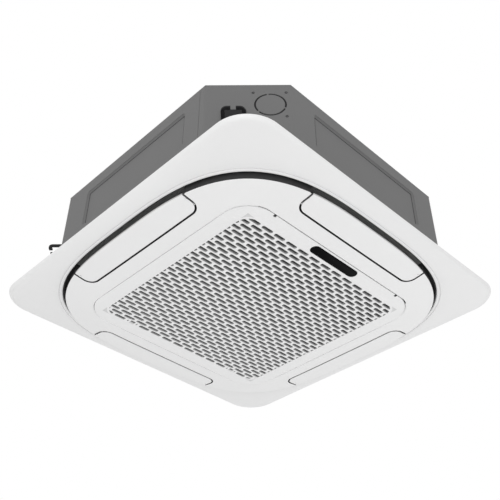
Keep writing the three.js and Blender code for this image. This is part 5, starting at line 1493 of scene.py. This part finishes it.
def coil_band(outer, inner, open_length):
    """The outline in plan of a band along the coil."""
    radius = 70
    small = max(radius - (outer - inner), 5)
    end = outer - open_length
    points = [(outer, end)]
    points += arc(outer - radius, radius - outer, radius, 0, -90, 10)
    points += arc(radius - outer, radius - outer, radius, -90, -180, 10)
    points += arc(radius - outer, outer - radius, radius, 180, 90, 10)
    points += [(end, outer), (end, inner)]
    points += arc(small - inner, inner - small, small, 90, 180, 10)
    points += arc(small - inner, small - inner, small, 180, 270, 10)
    points += arc(inner - small, small - inner, small, 270, 360, 10)
    points.append((inner, end))
    return points


class CASSETTE_OT_coil(bpy.types.Operator):
    """Makes the coil's stack of fins round the fan"""
    bl_idname = "cassette.coil"
    bl_label = "Coil"

    def execute(self, context):
        middle = (COIL_OUTER + COIL_INNER) / 2
        path = coil_path(middle, 51)
        mesh = bpy.data.meshes.new("path")
        mesh.from_pydata([(x * MM, y * MM, (COIL_LOW + COIL_TOP) / 2 * MM) for x, y in path],
                         [(i, i + 1) for i in range(len(path) - 1)], [])
        growth = Growth("coil_fins", {
            "Fin Pitch": ("Float", context.scene.cassette_sizes.fin_pitch),
            "Fin Depth": ("Float", (COIL_OUTER - COIL_INNER - 0.4) * MM),
            "Fin Height": ("Float", (COIL_TOP - COIL_LOW - 0.4) * MM),
            "Fin Thickness": ("Float", 0.0005),
            "Material": ("Material", finish_of("coil_fins")),
        })
        curve = growth.node("GeometryNodeMeshToCurve", {"Mesh": growth.given()})
        curve = growth.node("GeometryNodeResampleCurve",
                            {"Curve": curve, "Length": growth.given("Fin Pitch")}, {"mode": "LENGTH"})
        tangent = growth.node("GeometryNodeInputTangent")
        turn = growth.node("FunctionNodeAlignRotationToVector", {"Vector": tangent}, {"axis": "X"})
        fin = growth.node("GeometryNodeMeshCube", {"Size": growth.vector(
            growth.given("Fin Thickness"), growth.given("Fin Depth"), growth.given("Fin Height"))})
        fins = growth.node("GeometryNodeInstanceOnPoints", {"Points": curve, "Instance": fin,
                                                            "Rotation": turn})
        grown = growth.run(fins, mesh, growth.given("Material"))
        core = prism(coil_band(COIL_OUTER - 8, COIL_INNER + 8, COIL_OPEN - 7.5), COIL_LOW + 1, COIL_TOP - 1)
        piece("coil_fin_stack", gathered(grown, core), "coil_fins", "unit",
              ("heat_exchanger",))
        return {"FINISHED"}


def shroud_height(share):
    """Height of the fan's shroud, from its eye to its rim."""
    return FAN_LOW + SHROUD_RISE * math.sin(share * math.pi / 2) ** 0.8


class CASSETTE_OT_fan(bpy.types.Operator):
    """Makes the fan with its backward-curved blades, and the bell mouth below it"""
    bl_idname = "cassette.fan"
    bl_label = "Fan and bell mouth"

    def execute(self, context):
        cup_floor, cup = 206.7, 74
        curve = []
        for step in range(13):
            share = step / 12
            curve.append((EYE_RADIUS + SHROUD_WIDTH * share, shroud_height(share)))
        hub = turned([(6.4, cup_floor - 3), (cup - 4, cup_floor - 3), (cup, cup_floor - 1),
                      (cup + 15, FAN_TOP - 6), (cup + 19, FAN_TOP - 3), (FAN_RADIUS, FAN_TOP - 3),
                      (FAN_RADIUS, FAN_TOP), (cup + 12, FAN_TOP), (cup - 3, cup_floor + 2),
                      (cup - 5, cup_floor), (6.4, cup_floor)])
        shroud = turned(curve + [(radius + (2.5 if i == 12 else 0), z + 2.5)
                                 for i, (radius, z) in enumerate(reversed(curve))])
        root, tip, sweep = 138, FAN_RADIUS - 2, math.radians(42)
        left, right = [], []
        steps = 14
        for step in range(steps + 1):
            share = step / steps
            radius = root + (tip - root) * share
            angle = -sweep * share ** 1.25
            half = 3 * (1 - 0.7 * abs(share - 0.35))
            if radius < EYE_RADIUS + 2.5:
                low = 140.7
            else:
                low = shroud_height(min((radius - EYE_RADIUS) / SHROUD_WIDTH, 1)) + 1.2
            for side, points in ((1, left), (-1, right)):
                turn = angle + side * half / radius
                points.append((radius * math.cos(turn), radius * math.sin(turn), low))
        ring = left + list(reversed(right))
        blade = loft([ring, [(x, y, FAN_TOP - 1.5) for x, y, _ in ring]], closed=False)
        blade_object = bpy.data.objects.new("blade", blade)
        context.scene.collection.objects.link(blade_object)
        growth = Growth("fan_blades", {
            "Blades": ("Int", context.scene.cassette_sizes.blade_count),
            "Blade": ("Object", blade_object),
            "Material": ("Material", finish_of("fan_plastic")),
        })
        count = growth.given("Blades")
        points = growth.node("GeometryNodePoints", {"Count": count})
        index = growth.node("GeometryNodeInputIndex")
        spread = growth.vector(0, 0, index * 2 * math.pi / count)
        turn = growth.node("FunctionNodeEulerToRotation", {0: spread})
        shape = growth.node("GeometryNodeObjectInfo", {"Object": growth.given("Blade")}, output="Geometry")
        blades = growth.node("GeometryNodeInstanceOnPoints", {"Points": points, "Instance": shape,
                                                              "Rotation": turn})
        holder = bpy.data.meshes.new("holder")
        blades = growth.run(blades, holder, growth.given("Material"))
        bpy.data.objects.remove(blade_object)
        piece("fan_wheel", gathered(hub, shroud, blades), "fan_plastic", "fan",
              ("turbo_fan",))

        flange, throat, low, top, wall = 236, 202.7, 62, 137.7, 3
        inner = []
        for step in range(15):
            turn = step / 14 * math.pi / 2
            inner.append((flange - (flange - throat) * math.sin(turn),
                          low + (top - low) * (1 - math.cos(turn))))
        outer = [(min(radius + wall, flange), z + (wall if z < top - 8 else 0)) for radius, z in inner]
        outer[-1] = (throat + wall, top)
        piece("bell_mouth_shell", turned(inner + list(reversed(outer))), "fan_plastic", "unit",
              ("bell_mouth",))
        return {"FINISHED"}


# ---------------------------------------------------------------------------
# Service corner
# ---------------------------------------------------------------------------

def smooth_run(points, steps=10):
    """A smooth run of points through the given ones."""
    spots = [Vector(point) for point in points]
    spots = [spots[0] * 2 - spots[1]] + spots + [spots[-1] * 2 - spots[-2]]
    run = []
    for i in range(1, len(spots) - 2):
        a, b, c, d = spots[i - 1:i + 3]
        for step in range(steps):
            t = step / steps
            run.append(0.5 * (2 * b + (c - a) * t + (2 * a - 5 * b + 4 * c - d) * t * t
                              + (3 * b - a - 3 * c + d) * t ** 3))
    run.append(spots[-2])
    return run


class CASSETTE_OT_connections(bpy.types.Operator):
    """Makes the pipes, nuts, drain socket, cable gland and plate on the service corner"""
    bl_idname = "cassette.connections"
    bl_label = "Connections"

    def execute(self, context):
        middle = (COIL_OUTER + COIL_INNER) / 2
        start = COIL_OUTER - COIL_OPEN + 3 + 17.2
        z = PIPE_Z
        exits = {"gas": (PIPE_ALONG, GAS_RADIUS, (start, middle + 10, z)),
                 "liquid": (-PIPE_ALONG, LIQUID_RADIUS, (middle + 10, start, z))}
        for name, (shift, radius, port) in exits.items():
            inside = Vector(corner_place(0, shift, -70, z))
            first = Vector(port)
            points = [first, (first + inside) / 2 + Vector((0, 0, radius)), inside,
                      Vector(corner_place(0, shift, -12, z)), Vector(corner_place(0, shift, 46, z))]
            piece(f"{name}_pipe_tube", tube(smooth_run(points), radius, radius * 0.72), "copper_tube",
                  "unit", (f"{name}_pipe",))
            across = radius * 1.45 + 2
            bore = radius + 0.3
            nut = prism(arc(0, 0, across, 0, 300, 5), 0, 22)
            chamfer = spun([(across * 0.86, -0.1), (across + 0.4, across * 0.2),
                            (across + 0.4, 22 - across * 0.2), (across * 0.86, 22.1)], 36)
            nut = combined(nut, chamfer, "INTERSECT")
            nut = cut(nut, spun([(bore, -3), (bore, 25)], 32))
            nut = moved(nut, along(corner_place(0, shift, 24, z), corner_place(0, shift, 46, z)))
            piece(f"{name}_nut", nut, "brass_nut", "unit", (f"{name}_flare_nut",), sharp=28)
        plate = moved(loft([[(x, y, z2) for y, z2 in rounded_rectangle(55 - inset, 28 - inset, 5, 5)]
                            for x, inset in ((0, 0), (1.4, 0), (2, 0.6))], closed=False),
                      Matrix.Translation(corner_place(0, 0, 0.3, z))
                      @ Matrix.Rotation(math.radians(45), 4, "Z"))
        for shift, radius in ((PIPE_ALONG, GAS_RADIUS), (-PIPE_ALONG, LIQUID_RADIUS)):
            plate = cut(plate, rod(radius + 0.3, corner_place(0, shift, -8, z), corner_place(0, shift, 8, z),
                                   32, 0.1))
        piece("pipe_cover_plate", plate, "zinc_steel", "unit", ("pipe_plate",))

        profile = [(9.5, 0), (12.5, 0), (12.5, 60), (11.6, 62.5), (11.6, 64), (12.5, 64.8), (12.5, 66.4),
                   (12.1, 67), (9.5, 67)]
        socket = moved(turned(profile, 40), along(corner_place(0, DRAIN_ALONG, -35, DRAIN_Z),
                                                  corner_place(0, DRAIN_ALONG, 32, DRAIN_Z)))
        piece("drain_socket", socket, "fan_plastic", "unit", ("drain_outlet",))
        profile = [(5, 0), (9.4, 0), (10, 0.8), (10, 9.2), (14.4, 9.3), (15, 10), (15, 11), (14.2, 12.3),
                   (6.4, 12.3), (5, 11.6)]
        gland = moved(turned(profile, 40), along(corner_place(0, GLAND_ALONG, -9, GLAND_Z),
                                                 corner_place(0, GLAND_ALONG, 3.3, GLAND_Z)))
        piece("cable_gland_ring", gland, "grommet_black", "unit", ("cable_gland",))
        return {"FINISHED"}


class CASSETTE_PT_panel(bpy.types.Panel):
    """Lists the steps that dress the air conditioner"""
    bl_idname = "CASSETTE_PT_panel"
    bl_label = "Cassette"
    bl_space_type = "VIEW_3D"
    bl_region_type = "UI"
    bl_category = "Cassette"

    def draw(self, context):
        scene = context.scene
        for group in (scene.cassette_sizes, scene.cassette_colours):
            column = self.layout.column(align=True)
            for name in group.bl_rna.properties.keys():
                if name not in ("rna_type", "name"):
                    column.prop(group, name)
        for operator in OPERATORS:
            self.layout.operator(operator.bl_idname)


OPERATORS = (
    CASSETTE_OT_finishes, CASSETTE_OT_stage, CASSETTE_OT_panel_frame, CASSETTE_OT_centre_ring,
    CASSETTE_OT_flaps, CASSETTE_OT_duct, CASSETTE_OT_vanes, CASSETTE_OT_grille, CASSETTE_OT_display,
    CASSETTE_OT_filter, CASSETTE_OT_casing, CASSETTE_OT_screws, CASSETTE_OT_coil, CASSETTE_OT_fan,
    CASSETTE_OT_connections,
)
CLASSES = (CassetteSizes, CassetteColours, *OPERATORS, CASSETTE_PT_panel)


def register():
    for cls in CLASSES:
        bpy.utils.register_class(cls)
    bpy.types.Scene.cassette_sizes = bpy.props.PointerProperty(type=CassetteSizes)
    bpy.types.Scene.cassette_colours = bpy.props.PointerProperty(type=CassetteColours)


def unregister():
    del bpy.types.Scene.cassette_colours
    del bpy.types.Scene.cassette_sizes
    for cls in reversed(CLASSES):
        bpy.utils.unregister_class(cls)


def main():
    register()
    for operator in OPERATORS:
        group, name = operator.bl_idname.split(".")
        getattr(getattr(bpy.ops, group), name)()


if __name__ == "__main__":
    main()
